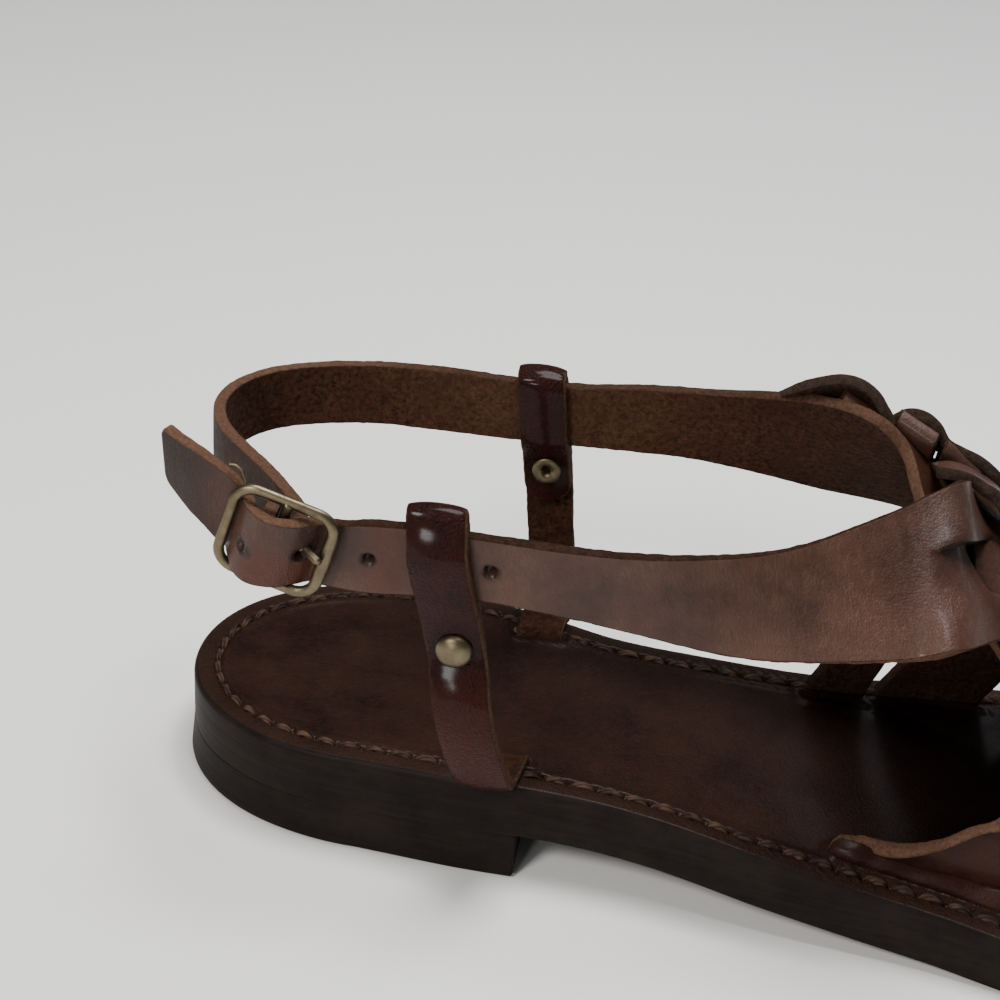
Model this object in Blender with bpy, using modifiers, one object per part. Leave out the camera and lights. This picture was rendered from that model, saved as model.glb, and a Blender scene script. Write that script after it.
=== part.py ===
"""Fisherman sandal, right foot, men's EU 42, standing on its sole.

Frame: +X to the toe, -Y to the outer (buckle) side, +Z up. The heel and the ball of the sole stand
on z = 0, and the origin is under the heel. Tables are in millimetres, with x from the heel's back.
"""

from math import cos, pi, radians, sin

import bmesh
import bpy
from mathutils import Matrix, Vector

MM = 0.001
GAP = 0.3                  # clearance between pieces that touch on the real shoe

HEEL_SEAT = 40.0           # the tables' x at the origin, on the floor under the heel
SOLE_LENGTH = 288.0
HEEL_ROUND = 44.0          # length of the round back of the heel
TOE_ROUND = 62.0           # length of the round toe
HEEL_POWER = 2.07          # superellipse powers of the two round ends
TOE_POWER = 2.3
HEEL_BREAST = 78.7         # front face of the heel block
HEEL_FLARE = 0.8           # the heel block widens by this much at the floor
OUTSOLE_THICK = 7.8
INSOLE_THICK = 4.3
FORM_DEPTH = 8.8           # the foot form lies this deep under its table's surface
OUTER_INSET = 11.0         # strap slits lie this far inside the sole's edge
INNER_INSET = 6.8
BULGE_POWER = 0.85         # how the foot form's section rounds off sideways
RIDGE_POWER = 0.9          # and upwards
TURN_IN = 0.6              # from this share of the way down, the form draws in to the slits

QUARTER_THICK = 2.6
VAMP_THICK = 3.0
THONG_THICK = 2.0
THONG_WIDTH = 9.0
LOOP_THICK = 2.3
LOOP_WIDTH = {"outer": 11.4, "inner": 10.2}
ROOT_CLEAR = 0.7           # a strap's root ends this far above the insole's underside
TOE_ENTRY = (0.6, 0.5)     # the long thong turns down this far ahead and this far above its slit
SLIT_ROWS = 7              # rows at a strap's root that its slit is cut from
LOOP_SLIT_ROWS = 10
SLIVER_VOLUME = 20.0       # cubic millimetres: a shell that holds less is a leftover of a union

BUCKLE_LENGTH = 20.0       # along the strap, between the side bars' centres
BUCKLE_HEIGHT = 18.6       # across the strap, between the top and bottom bars' centres
BUCKLE_RISE = 0.6          # the frame hangs this much above the strap's middle line
BUCKLE_CORNER = 4.0
BUCKLE_WIRE = 1.1          # wire radius
BAR_RADIUS = 1.05
BUCKLE_TILT = radians(16)  # the strap climbs towards the back of the heel
BUCKLE_CENTRE = (28.0, -38.9, 78.4)
PRONG_RADIUS = 0.95

PRONG_SLOT = (9.0, 8.0, 2.5)   # slot in the fold for the prong: along, out, across
SLOT_CENTRE = (-0.5, 0.2)      # its middle in the buckle's axes: along, out
PRONG_REACH = -0.4             # the prong's tip ends this far past the front bar's middle
PRONG_BEND = 3.0               # and it bends this far before the bar
PRONG_RISE = 1.3               # it runs this much above the strap's middle line
DOME_RADIUS = 3.7
DOME_RISE = 2.0
DOME_STEPS = 4
WASHER_RADIUS = 3.3
WASHER_THICK = 0.8
POST_RADIUS = 1.0

# plan of the sole: x, centre line y, half width
PLAN = [
    (44, 2.9, 34.3), (62, 1.2, 33.9), (95, -2.5, 30.4), (130, -3.3, 34.3), (165, -0.4, 40.9),
    (200, 0.6, 47.0), (226, 2.6, 46.0), (288, 11.0, 44.0),
]
# underside of the outsole: x, z
TREAD = [(0, 9.2), (40, 10.2), (75, 10.9), (105, 9.2), (130, 6.3), (165, 1.9),
         (190, 0.0), (216, 0.0), (250, 2.4), (288, 8.6)]
# foot form under the straps: x, ridge y, ridge z, outer bulge, inner bulge (from the ridge)
FORM = [
    (100, 5.0, 112.0, 41, 27), (131, 5.5, 98.5, 42, 29), (150, 6.0, 91.5, 42, 31),
    (170, 6.0, 80.0, 44, 33), (190, 6.5, 67.5, 46, 35), (210, 7.0, 57.0, 47, 35),
    (230, 7.5, 48.0, 45, 34), (250, 8.5, 40.5, 40, 30), (270, 9.5, 33.0, 32, 24),
]

# outer strap behind the buckle: upper edge x, y, z, then lower edge x, y, z
FREE_END = [
    (4.8, -32.6, 96.6, 5.6, -32.6, 85.8), (8.6, -34.0, 95.8, 9.0, -34.0, 82.6),
    (13.8, -35.4, 93.8, 12.4, -35.4, 79.8),
]
# outer strap through the buckle, in the buckle's axes: along (to the back), out, up, half width
OUTER_HUMP = [
    (11.4, -3.4, 1.6, 7.0), (8.6, -3.0, 0.5, 6.3), (6.8, 0.0, 0.3, 6.4), (4.4, 3.0, 0, 7.3), (1.8, 3.9, 0, 7.4),
    (-1.8, 2.5, 0, 7.4), (-4.6, -0.3, 0, 7.4), (-7.0, -2.7, 0, 7.2), (-8.8, -3.2, 0.4, 7.0),
    (-11.4, -3.3, 0.9, 7.4),
]
# inner strap's fold round the centre bar, in the same axes
BAR_FOLD = [
    (2.9, -5.2, 0, 6.4), (2.75, 0.4, 0, 6.4), (1.95, 2.0, 0, 6.4), (0, 2.8, 0, 6.4),
    (-1.95, 2.0, 0, 6.4), (-2.75, 0.4, 0, 6.4), (-2.3, -4.6, 0, 6.8),
]
# outer strap from the buckle to the instep
OUTER_QUARTER = [
    (46, -36.0, 84.4, 46, -36.0, 69.0), (57, -35.8, 84.9, 58, -35.8, 70.2),
    (68, -35.5, 84.5, 68, -35.5, 70.6), (83, -35.4, 84.3, 82, -35.6, 69.9),
    (96, -34.8, 84.5, 98, -36.2, 68.6), (108, -33.0, 85.1, 111, -37.0, 67.5),
    (119, -30.6, 86.2, 121, -37.6, 67.4), (128, -27.4, 88.0, 131, -38.0, 68.6),
    (137, -22.8, 90.8, 141.5, -38.2, 70.6), (146, -16.0, 92.6, 150.5, -37.8, 72.4),
    (156, -6.4, 94.2, 158.5, -36.6, 73.8),
]
# the same strap over the instep: rear edge x and angle, front edge x and angle, lift, rear edge's rise
OUTER_CROSSING = [
    (161, 8, 171, -36, 4.8, 2.6), (165, 13, 181, -27, 4.4, 3.6), (169.5, 19, 189, -10, 4.2, 3.4),
    (174.5, 40, 196, 12, 4.3, 1.5), (180, 62, 201, 34, 4.4), (186, 77, 205, 56, 4.8),
    (191, 85, 207, 78, 5.8), (193, 90, 208, 90, 1.6)]
# inner strap from the fold round the heel: x, y, upper z, lower z
HEEL_STRAP = [
    (26.3, -27.8, 85.4, 71.0), (21.0, -21.0, 85.0, 70.5), (15.0, -13.2, 83.9, 69.4),
    (9.0, -5.0, 82.6, 68.1), (4.8, 3.5, 81.6, 67.1), (3.2, 12.0, 80.9, 66.3),
    (4.6, 20.5, 80.4, 65.9), (9.8, 27.6, 80.4, 65.9), (19, 31.4, 81.3, 66.8),
    (33, 32.4, 83.0, 68.5), (47, 32.4, 83.7, 68.9), (62, 32.3, 83.7, 69.2), (77, 32.3, 84.1, 69.7),
]
INNER_QUARTER = [
    (91, 32.2, 85.9, 90, 32.8, 70.0), (106, 30.2, 88.0, 104, 34.0, 69.8),
    (119, 25.0, 91.8, 120, 35.6, 67.6), (131, 18.0, 95.4, 134, 36.4, 65.6),
    (139.5, 11.8, 96.2, 148, 36.2, 64.6),
]
INNER_CROSSING = [
    (147, 5, 161, 44, 7.3), (153, -8, 170, 27, 3.3), (161, -22, 179, 6, 1.5),
    (171, -36, 188, -14, 1.5), (182, -48, 199, -32, 0.9), (192, -60, 209, -45, 0.6),
]
# outer vamp panel from its long slit over the instep to the inner slit
VAMP_PANEL = [
    (145, -90, 206, -90, 1.5), (160, -85, 209, -76, 6.2), (176, -72, 213, -58, 4.6),
    (190, -50, 219, -36, 4.5), (200, -26, 226, -14, 4.5), (206, 0, 231, 6, 4.5),
    (209, 26, 233, 28, 5.2), (211, 52, 232, 52, 7.2), (212, 76, 231, 76, 7.3), (212, 90, 230, 90, 1.5),
]
# two narrow inner vamp straps from their slits to the instep, under the others
INNER_VAMP = {
    "rear": [(137, 90, 150, 90, 1.5), (145, 79, 158, 76, 7.3), (157, 61, 171, 57, 4.8),
             (171, 39, 184, 35, 1.7), (184, 18, 196, 14, 1.5), (196, -4, 208, -8, 1.5)],
    "front": [(153, 90, 177, 90, 1.5), (162, 78, 186, 76, 7.3), (174, 59, 198, 57, 7.2),
              (187, 38, 210, 36, 5.0), (199, 16, 221, 14, 1.7)],
}
# long thong along the instep, first its arcs over the bridges: x, y, z, tilt to the inner side
SPINE_ARCS = [
    (115, 31.2, 81.6, 70), (119.6, 27.6, 87.4, 64), (123.5, 24.8, 91.9, 56), (127.1, 23.6, 94.6, 51),
    (131.8, 22.4, 97.0, 47), (135.6, 21.0, 97.6, 44), (139.1, 20.2, 96.0, 42), (141.6, 19.3, 93.2, 40),
    (143.4, 18.9, 91.8, 38), (146.3, 18.5, 94.0, 37), (149.5, 18.1, 94.1, 36), (152.3, 17.6, 92.4, 35),
    (154.6, 17.2, 89.4, 34), (157.9, 16.3, 88.4, 32), (162.0, 15.8, 87.1, 31), (166.4, 15.4, 84.0, 30),
]
# then over the foot form as x, angle, lift, and down to the toe slit as x, z
SPINE = [
    (174, 15, 9.6), (182, 13, 8.4), (190, 11, 7.2), (199, 9, 6.1),
    (208, 7, 7.1), (220, 6, 7.2), (230, 4, 6.8), (238, 2, 5.6), (248, 0, 5.6),
]
SPINE_TOE = [(258, 34.6), (265, 28.0), (268.4, 21.0)]
# bridges of the inner strap under the arcs: rear x, front x, rear y, front y, rear z, front z
BRIDGES = [
    (133.0, 141.0, 18.6, 16.0, 96.6, 93.0), (144.4, 152.4, 13.6, 10.8, 96.3, 93.2),
    (156.8, 164.4, 11.6, 11.0, 90.0, 84.6),
]
# a bridge's line from the strap's edge, over the top and down its outer face: y, z from the top
BRIDGE_PATH = [(4.6, -6.2), (1.0, -3.0), (0.2, 0.0), (2.8, -0.7), (6.0, -4.6), (9.6, -9.4), (10.6, -12.6)]
# short thong beside the first, on the outer side: x, y, z, tilt, then x, angle, lift
SECOND_ARCS = [(149.4, 8.0, 89.6, 24), (152.4, 4.8, 91.6, 18), (155.8, 4.0, 92.1, 18), (159.0, 4.0, 91.3, 17),
               (165.3, 3.6, 86.6, 16)]
SECOND_THONG = [
    (173, -5, 8.2), (182, -8, 7.4), (191, -10, 6.1),
    (201, -11, 6.6), (212, -12, 7.2), (222, -12, 6.8), (231, -12, 3.6),
]
# strap loops: centre x, y, z, from the slit over the sole's edge up to the fold, and down inside
OUTER_LOOP = [
    (73.4, -23.6, 18.7), (73.4, -23.6, 22.4), (73.2, -25.4, 24.5), (72.6, -29.0, 24.6),
    (71.9, -33.6, 24.9), (71.2, -36.4, 28.6), (69.2, -37.4, 37.0), (66.6, -37.7, 48.0),
    (64.0, -38.0, 60.0), (61.5, -38.6, 71.0), (59.5, -38.8, 82.0), (58.7, -37.9, 87.4),
    (58.5, -35.8, 88.8), (58.5, -33.6, 87.6), (59.0, -32.4, 82.0), (60.8, -32.6, 72.0),
    (61.5, -33.1, 68.4), (62.8, -35.2, 63.8), (63.6, -35.3, 60.0), (64.9, -35.3, 54.0),
]
INNER_LOOP = [
    (74.6, 23.0, 18.7), (74.6, 23.0, 22.5), (74.8, 24.8, 24.6), (75.2, 28.4, 24.7),
    (75.8, 31.6, 25.2), (76.2, 33.8, 29.0), (75.0, 34.6, 38.0), (73.8, 34.7, 48.0),
    (72.8, 34.7, 58.0), (71.6, 34.8, 67.6), (69.9, 35.4, 79.6), (69.4, 35.3, 83.6),
    (69.2, 34.2, 85.8), (69.1, 32.3, 86.5), (69.3, 30.4, 85.8), (69.5, 29.2, 83.6), (70.8, 29.1, 72.6),
    (71.1, 29.4, 69.8), (71.6, 30.8, 66.8), (72.0, 31.2, 63.4), (73.2, 31.3, 55.4),
]
RIVETS = {"outer": (64.0, -38.0, 60.0, -1), "inner": (72.2, 34.8, 63.4, 1)}   # x, outer layer y, z, side
LAYER_STEP = {"outer": 2.75, "inner": 3.9}     # distance between a loop's two layers at its rivet

MATERIALS = {              # base colour, roughness, metallic
    "strap_leather": ((0.075, 0.035, 0.025, 1), 0.5, 0),
    "insole_leather": ((0.05, 0.025, 0.018, 1), 0.45, 0),
    "sole_leather": ((0.016, 0.012, 0.010, 1), 0.5, 0),
    "antique_brass": ((0.20, 0.16, 0.08, 1), 0.35, 1),
}


def clear_scene():
    for item in list(bpy.data.objects):
        bpy.data.objects.remove(item)


def make_collection(name):
    collection = bpy.data.collections.new(name)
    bpy.context.scene.collection.children.link(collection)
    return collection


def make_material(name):
    colour, roughness, metallic = MATERIALS[name]
    material = bpy.data.materials.new(name)
    material.use_nodes = True
    shader = material.node_tree.nodes["Principled BSDF"]
    shader.inputs["Base Color"].default_value = colour
    shader.inputs["Roughness"].default_value = roughness
    shader.inputs["Metallic"].default_value = metallic
    return material


def through(rows, column, x):
    """Smooth value of a column at x, with no overshoot, so that level stretches stay level."""
    xs = [row[0] for row in rows]
    vs = [row[column] for row in rows]
    if x <= xs[0]:
        return vs[0]
    if x >= xs[-1]:
        return vs[-1]
    steps = [(vs[i + 1] - vs[i]) / (xs[i + 1] - xs[i]) for i in range(len(xs) - 1)]
    slopes = [steps[0]]
    for before, after in zip(steps, steps[1:]):
        slopes.append(0.0 if before * after <= 0 else 2 * before * after / (before + after))
    slopes.append(steps[-1])
    i = max(k for k in range(len(xs) - 1) if xs[k] <= x)
    width = xs[i + 1] - xs[i]
    t = (x - xs[i]) / width
    return (
        vs[i] * (1 + 2 * t) * (1 - t) ** 2
        + slopes[i] * width * t * (1 - t) ** 2
        + vs[i + 1] * t * t * (3 - 2 * t)
        - slopes[i + 1] * width * t * t * (1 - t)
    )


def half_width(x):
    """Half width of the sole at x, round at the heel and at the toe."""
    width = through(PLAN, 2, x)
    back = max(0.0, 1 - x / HEEL_ROUND)
    front = max(0.0, 1 - (SOLE_LENGTH - x) / TOE_ROUND)
    return width * (1 - back**HEEL_POWER) ** (1 / HEEL_POWER) * (1 - front**TOE_POWER) ** (1 / TOE_POWER)


def centre_line(x):
    return through(PLAN, 1, x)


def tread(x):
    return through(TREAD, 1, x)


def outsole_top(x):
    return tread(x) + OUTSOLE_THICK


def insole_under(x):
    return outsole_top(x) + GAP


def insole_top(x):
    return insole_under(x) + INSOLE_THICK


def stations(start, end, middle_step):
    """x of the cross sections, closer together round the heel and the toe."""
    xs = []
    if start < HEEL_ROUND:
        xs += [start + (HEEL_ROUND - start) * (1 - cos(a * pi / 18)) for a in range(1, 10)]
    first = xs[-1] if xs else start
    last = min(end, SOLE_LENGTH - TOE_ROUND)
    count = max(2, round((last - first) / middle_step))
    xs += [first + (last - first) * k / count for k in range(1 if xs else 0, count + 1)]
    if end > last:
        xs += [end - (end - last) * (1 - sin(a * pi / 20)) for a in range(1, 10)]
    return xs


def finish(item, collection, material):
    collection.objects.link(item)
    item.data.materials.append(material)
    return item


def slab(name, xs, across, under, over, flare=0.0):
    """Closed body between two heights, with the sole's outline, widened by flare at its foot."""
    bm = bmesh.new()
    layers = []
    for height, spread in ((over, 0.0), (under, flare)):
        rows = []
        for x in xs:
            half = half_width(x) + spread
            rows.append([
                bm.verts.new((x * MM, (centre_line(x) + half * (2 * k / across - 1)) * MM, height(x) * MM))
                for k in range(across + 1)
            ])
        layers.append(rows)
    for rows in layers:
        for a, b in zip(rows, rows[1:]):
            for k in range(across):
                bm.faces.new((a[k], b[k], b[k + 1], a[k + 1]))
    edges = [edge for edge in bm.edges if edge.is_boundary]
    bmesh.ops.bridge_loops(bm, edges=edges)
    bmesh.ops.recalc_face_normals(bm, faces=bm.faces)
    mesh = bpy.data.meshes.new(name)
    bm.to_mesh(mesh)
    bm.free()
    return bpy.data.objects.new(name, mesh)


def form_point(x, angle, lift):
    """Point over the foot form: angle 0 is the ridge, -90 the outer slit line, 90 the inner one."""

    def raw(px, degrees):
        ridge_y, ridge_z = through(FORM, 1, px), through(FORM, 2, px)
        side = -1 if degrees < 0 else 1
        share = min(1.0, abs(degrees) / 90)
        turn = share * pi / 2
        bulge = through(FORM, 3 if side < 0 else 4, px)
        inset = OUTER_INSET if side < 0 else INNER_INSET
        slit = half_width(px) - inset + side * (centre_line(px) - ridge_y)
        low = max(0.0, (share - TURN_IN) / (1 - TURN_IN))
        reach = bulge * sin(turn) ** BULGE_POWER + (slit - bulge) * low * low * (3 - 2 * low)
        base = insole_top(px)
        return Vector((px, ridge_y + side * reach, base + (ridge_z - base) * cos(turn) ** RIDGE_POWER))

    here = raw(x, angle)
    if abs(angle) >= 89:
        return here + Vector((0, lift if angle > 0 else -lift, 0))
    along = raw(x + 1, angle) - raw(x - 1, angle)
    low, high = max(-89.5, angle - 3), min(89.5, angle + 3)
    out = along.cross(raw(x, high) - raw(x, low)).normalized()
    return here + out * (lift - FORM_DEPTH)


def buckle_point(along, out, up):
    """Point from the buckle's own axes: towards the back along the strap, outwards, and up across it."""
    x, y, z = BUCKLE_CENTRE
    c, s = cos(BUCKLE_TILT), sin(BUCKLE_TILT)
    return (x - along * c + up * s, y - out, z + along * s + up * c)


def flat_row(upper, lower, across):
    return [Vector(upper).lerp(Vector(lower), k / across) for k in range(across + 1)]


def buckle_row(row, across):
    """Points across a strap in the buckle, from the upper edge to the lower."""
    along, out, up, half = row
    upper = buckle_point(along, out, up + half)
    lower = buckle_point(along, out, up - half)
    return flat_row(upper, lower, across)


def form_row(row, across):
    """Points across a strap that lies on the foot form; a sixth number lifts its rear edge further."""
    x_rear, a_rear, x_front, a_front, lift = row[:5]
    rise = row[5] if len(row) > 5 else 0
    points = []
    for k in range(across + 1):
        s = k / across
        x, angle = x_rear + (x_front - x_rear) * s, a_rear + (a_front - a_rear) * s
        points.append(form_point(x, angle, lift + rise * (1 - s) ** 3))
    return points


def root_row(points):
    """The same points, down through the insole to just above the outsole."""
    return [Vector((p.x, p.y, insole_under(p.x) + ROOT_CLEAR)) for p in points]


def thong_row(x, angle, lift, width):
    middle = form_point(x, angle, lift)
    aside = (form_point(x, angle + 4, lift) - form_point(x, angle - 4, lift)).normalized()
    return [middle - aside * width / 2, middle, middle + aside * width / 2]


def smooth_rows(rows, steps=2):
    """Catmull-Rom rows between the given rows, steps for each interval."""
    result = []
    for i in range(len(rows) - 1):
        before, after = rows[max(i - 1, 0)], rows[min(i + 2, len(rows) - 1)]
        for s in range(steps):
            t = s / steps
            row = []
            for a, b, c, d in zip(before, rows[i], rows[i + 1], after):
                row.append(
                    0.5 * (2 * b + (c - a) * t + (2 * a - 5 * b + 4 * c - d) * t * t
                           + (3 * b - a - 3 * c + d) * t**3)
                )
            result.append(row)
    result.append(rows[-1])
    return result


def strap(name, rows, thick):
    """Closed leather strap: its middle surface goes through the rows, and Solidify gives it thickness."""
    bm = bmesh.new()
    grid = [[bm.verts.new(p * MM) for p in row] for row in rows]
    for a, b in zip(grid, grid[1:]):
        for k in range(len(a) - 1):
            bm.faces.new((a[k], a[k + 1], b[k + 1], b[k]))
    mesh = bpy.data.meshes.new(name)
    bm.to_mesh(mesh)
    bm.free()
    item = bpy.data.objects.new(name, mesh)
    wall = item.modifiers.new("leather", "SOLIDIFY")
    wall.thickness = thick * MM
    wall.offset = 0
    wall.use_even_offset = True
    return item


def slit_cutter(name, rows, thick):
    """The root end of a strap, larger all round by the clearance and run out below the insole."""
    wide = []
    for row in [[2 * a - b for a, b in zip(rows[0], rows[1])]] + rows:
        aside = (row[-1] - row[0]).normalized() * GAP
        wide.append([row[0] - aside] + row[1:-1] + [row[-1] + aside])
    return strap(name, wide, thick + 2 * GAP)


def boolean(item, tool, operation, cutters, solver="EXACT"):
    if tool.name not in cutters.objects:
        cutters.objects.link(tool)
    tool.hide_render = True
    tool.display_type = "WIRE"
    step = item.modifiers.new(tool.name, "BOOLEAN")
    step.operation = operation
    step.solver = solver
    step.object = tool


def shell_volume(faces):
    """Volume in cubic millimetres inside a closed shell, below zero for a cavity."""
    total = 0.0
    for face in faces:
        first = face.verts[0].co
        for a, b in zip(face.verts[1:-1], face.verts[2:]):
            total += first.dot(a.co.cross(b.co)) / 6
    return total / MM**3


def settle(item):
    """Apply the modifiers and delete the slivers and sealed pockets that crossing walls leave."""
    bpy.context.view_layer.update()
    mesh = bpy.data.meshes.new_from_object(item.evaluated_get(bpy.context.evaluated_depsgraph_get()))
    item.modifiers.clear()
    bm = bmesh.new()
    bm.from_mesh(mesh)
    bmesh.ops.triangulate(bm, faces=bm.faces)
    waiting = set(bm.faces)
    while waiting:
        shell = [waiting.pop()]
        for face in shell:
            for neighbour in (f for edge in face.edges for f in edge.link_faces if f in waiting):
                waiting.discard(neighbour)
                shell.append(neighbour)
        if shell_volume(shell) < SLIVER_VOLUME:
            bmesh.ops.delete(bm, geom=shell, context="FACES")
    bm.to_mesh(mesh)
    bm.free()
    item.data = mesh


def tube(name, points, radius, cyclic=False, resolution=3):
    """Round wire through the points, as a closed mesh."""
    curve = bpy.data.curves.new(name, "CURVE")
    curve.dimensions = "3D"
    curve.bevel_depth = radius * MM
    curve.bevel_resolution = resolution
    curve.use_fill_caps = not cyclic
    spline = curve.splines.new("POLY")
    spline.points.add(len(points) - 1)
    for knot, point in zip(spline.points, points):
        knot.co = (*(Vector(point) * MM), 1)
    spline.use_cyclic_u = cyclic
    wire = bpy.data.objects.new(name + "_line", curve)
    bpy.context.scene.collection.objects.link(wire)
    bpy.context.view_layer.update()
    mesh = bpy.data.meshes.new_from_object(wire.evaluated_get(bpy.context.evaluated_depsgraph_get()))
    bpy.data.objects.remove(wire)
    bm = bmesh.new()
    bm.from_mesh(mesh)
    bmesh.ops.remove_doubles(bm, verts=bm.verts, dist=0.01 * MM)
    bmesh.ops.recalc_face_normals(bm, faces=bm.faces)
    bm.to_mesh(mesh)
    bm.free()
    mesh.name = name
    return bpy.data.objects.new(name, mesh)


def box(name, size, centre, turn=0.0):
    bm = bmesh.new()
    bmesh.ops.create_cube(bm, size=1)
    bmesh.ops.scale(bm, vec=Vector(size) * MM, verts=bm.verts)
    bmesh.ops.rotate(bm, matrix=Matrix.Rotation(turn, 3, "Y"), verts=bm.verts)
    bmesh.ops.translate(bm, vec=Vector(centre) * MM, verts=bm.verts)
    mesh = bpy.data.meshes.new(name)
    bm.to_mesh(mesh)
    bm.free()
    return bpy.data.objects.new(name, mesh)


def make_sole(parts):
    sole = make_material("sole_leather")
    xs = stations(0.0, SOLE_LENGTH, 12.0)
    finish(slab("outsole", xs, 6, tread, outsole_top), parts, sole)

    heel_xs = [x for x in xs if x < HEEL_BREAST - 3] + [HEEL_BREAST]
    finish(slab("heel", heel_xs, 6, lambda x: 0.0, lambda x: tread(x) - GAP, HEEL_FLARE), parts, sole)

    insole = finish(slab("insole", xs, 8, insole_under, insole_top), parts, make_material("insole_leather"))
    return insole


def loop_rows(table, width):
    """Rows across a strap loop, its width square to the way it runs and level on the sole."""
    points = [Vector(p) for p in table]
    rows = []
    for i, point in enumerate(points):
        ahead = points[min(i + 1, len(points) - 1)] - points[max(i - 1, 0)]
        side = Vector((1, 0, 0)) - ahead * ahead.x / ahead.length_squared
        side = side.normalized() * width / 2
        rows.append([point - side, point, point + side])
    return [root_row(rows[0])] + rows[1:]


def prong_path():
    """The prong's line: wound round the centre bar, then forward to rest on the front bar."""
    wind = BAR_RADIUS + GAP + PRONG_RADIUS
    rest = BUCKLE_WIRE + GAP + PRONG_RADIUS
    turns = [radians(degrees) for degrees in range(-120, 91, 30)]
    path = [buckle_point(wind * cos(turn), wind * sin(turn), PRONG_RISE) for turn in turns]
    front_bar = -BUCKLE_LENGTH / 2
    return path + [buckle_point(front_bar + step, rest, PRONG_RISE) for step in (PRONG_BEND, -PRONG_REACH)]


def make_outer_strap(cutters):
    """Free end, hump over the buckle, quarter, crossing over the instep and inner slit, in one strap."""
    rows = [flat_row(r[:3], r[3:], 4) for r in FREE_END]
    rows += [buckle_row(r, 4) for r in OUTER_HUMP]
    rows += [flat_row(r[:3], r[3:], 4) for r in OUTER_QUARTER]
    rows += [form_row(r, 4) for r in OUTER_CROSSING]
    rows = smooth_rows(rows + [root_row(rows[-1])])
    outer = strap("upper", rows, QUARTER_THICK)
    passage = tube("prong_passage", prong_path()[-6:], PRONG_RADIUS + GAP, resolution=2)
    boolean(outer, passage, "DIFFERENCE", cutters)
    return outer, rows[::-1]


def make_inner_strap(cutters):
    """Fold round the buckle's bar, heel, quarter and crossing to the outer side, in one strap."""
    rows = [buckle_row(r, 4) for r in BAR_FOLD]
    rows += [flat_row((x, y, top), (x, y, low), 4) for x, y, top, low in HEEL_STRAP]
    rows += [flat_row(r[:3], r[3:], 4) for r in INNER_QUARTER]
    rows += [form_row(r, 4) for r in INNER_CROSSING]
    inner = strap("inner_strap", smooth_rows(rows), QUARTER_THICK)
    slot = box("prong_slot", PRONG_SLOT, buckle_point(*SLOT_CENTRE, PRONG_RISE), BUCKLE_TILT)
    boolean(inner, slot, "DIFFERENCE", cutters)
    return inner


def thong_rows(arcs, over_form):
    """Rows across a thong: its arcs as x, y, z and tilt, then its way over the foot form."""
    rows = []
    for x, y, z, tilt in arcs:
        aside = Vector((0, cos(radians(tilt)), -sin(radians(tilt)))) * THONG_WIDTH / 2
        rows.append([Vector((x, y, z)) + aside * side for side in (-1, 0, 1)])
    return rows + [thong_row(x, angle, lift, THONG_WIDTH) for x, angle, lift in over_form]


def spine_rows():
    """The long thong, woven over the crossing straps and down to its slit between the toes."""
    rows = thong_rows(SPINE_ARCS, SPINE)
    for x, z in SPINE_TOE:
        y = through(FORM, 1, x)
        rows.append([Vector((x, y + side * THONG_WIDTH / 2, z)) for side in (-1, 0, 1)])
    toe = SPINE_TOE[-1][0] + TOE_ENTRY[0]
    rows.append([Vector((toe, p.y, insole_top(toe) + TOE_ENTRY[1])) for p in rows[-1]])
    return smooth_rows(rows + [root_row(rows[-1])])


def make_upper(parts, cutters, leather):
    """All the straps joined where they cross. Returns the rows at each root, for the insole's slits."""
    upper, root = make_outer_strap(cutters)
    finish(upper, parts, leather)
    roots = [("outer_strap", root, QUARTER_THICK)]

    rows = spine_rows()
    joined = [strap("spine", rows, THONG_THICK)]
    roots.append(("spine", rows[::-1], THONG_THICK))
    joined.append(strap("second_thong", smooth_rows(thong_rows(SECOND_ARCS, SECOND_THONG)), THONG_THICK))

    for number, (rear, front, rear_y, front_y, rear_z, front_z) in enumerate(BRIDGES, 1):
        rows = []
        for dy, dz in BRIDGE_PATH:
            rows.append(flat_row((rear, rear_y + dy, rear_z + dz), (front, front_y + dy, front_z + dz), 2))
        joined.append(strap(f"bridge_{number}", smooth_rows(rows), THONG_THICK))

    for place, table in INNER_VAMP.items():
        rows = [form_row(r, 3) for r in table]
        rows = smooth_rows([root_row(rows[0])] + rows)
        joined.append(strap("inner_vamp_" + place, rows, VAMP_THICK))
        roots.append(("vamp_" + place, rows, VAMP_THICK))

    rows = [form_row(r, 8) for r in VAMP_PANEL]
    rows = smooth_rows([root_row(rows[0])] + rows + [root_row(rows[-1])])
    joined.append(strap("vamp_panel", rows, VAMP_THICK))
    roots.append(("vamp_outer", rows, VAMP_THICK))
    roots.append(("vamp_inner", rows[::-1], VAMP_THICK))

    joined.append(make_inner_strap(cutters))
    for tool in joined:
        boolean(upper, tool, "UNION", cutters, "MANIFOLD")
    settle(upper)
    return roots


def make_loop(side, table, parts, cutters, leather, brass, insole):
    """Strap loop, its slit in the insole, and the rivet through its two layers."""
    rows = smooth_rows(loop_rows(table, LOOP_WIDTH[side]))
    loop = finish(strap("loop_" + side, rows, LOOP_THICK), parts, leather)
    cut = slit_cutter("slit_loop_" + side, rows[:LOOP_SLIT_ROWS], LOOP_THICK)
    boolean(insole, cut, "DIFFERENCE", cutters)
    x, y, z, sign = RIVETS[side]
    out = Vector((0, sign, 0))
    face = Vector((x, y, z)) + out * (LOOP_THICK / 2 + GAP)
    back = Vector((x, y, z)) - out * (LAYER_STEP[side] + LOOP_THICK / 2 + GAP)
    hole = tube("hole_" + side, [face + out * 3, back - out * 3], POST_RADIUS + GAP, resolution=2)
    boolean(loop, hole, "DIFFERENCE", cutters)
    finish(make_rivet("rivet_" + side, face, back, out), parts, brass)


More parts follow.
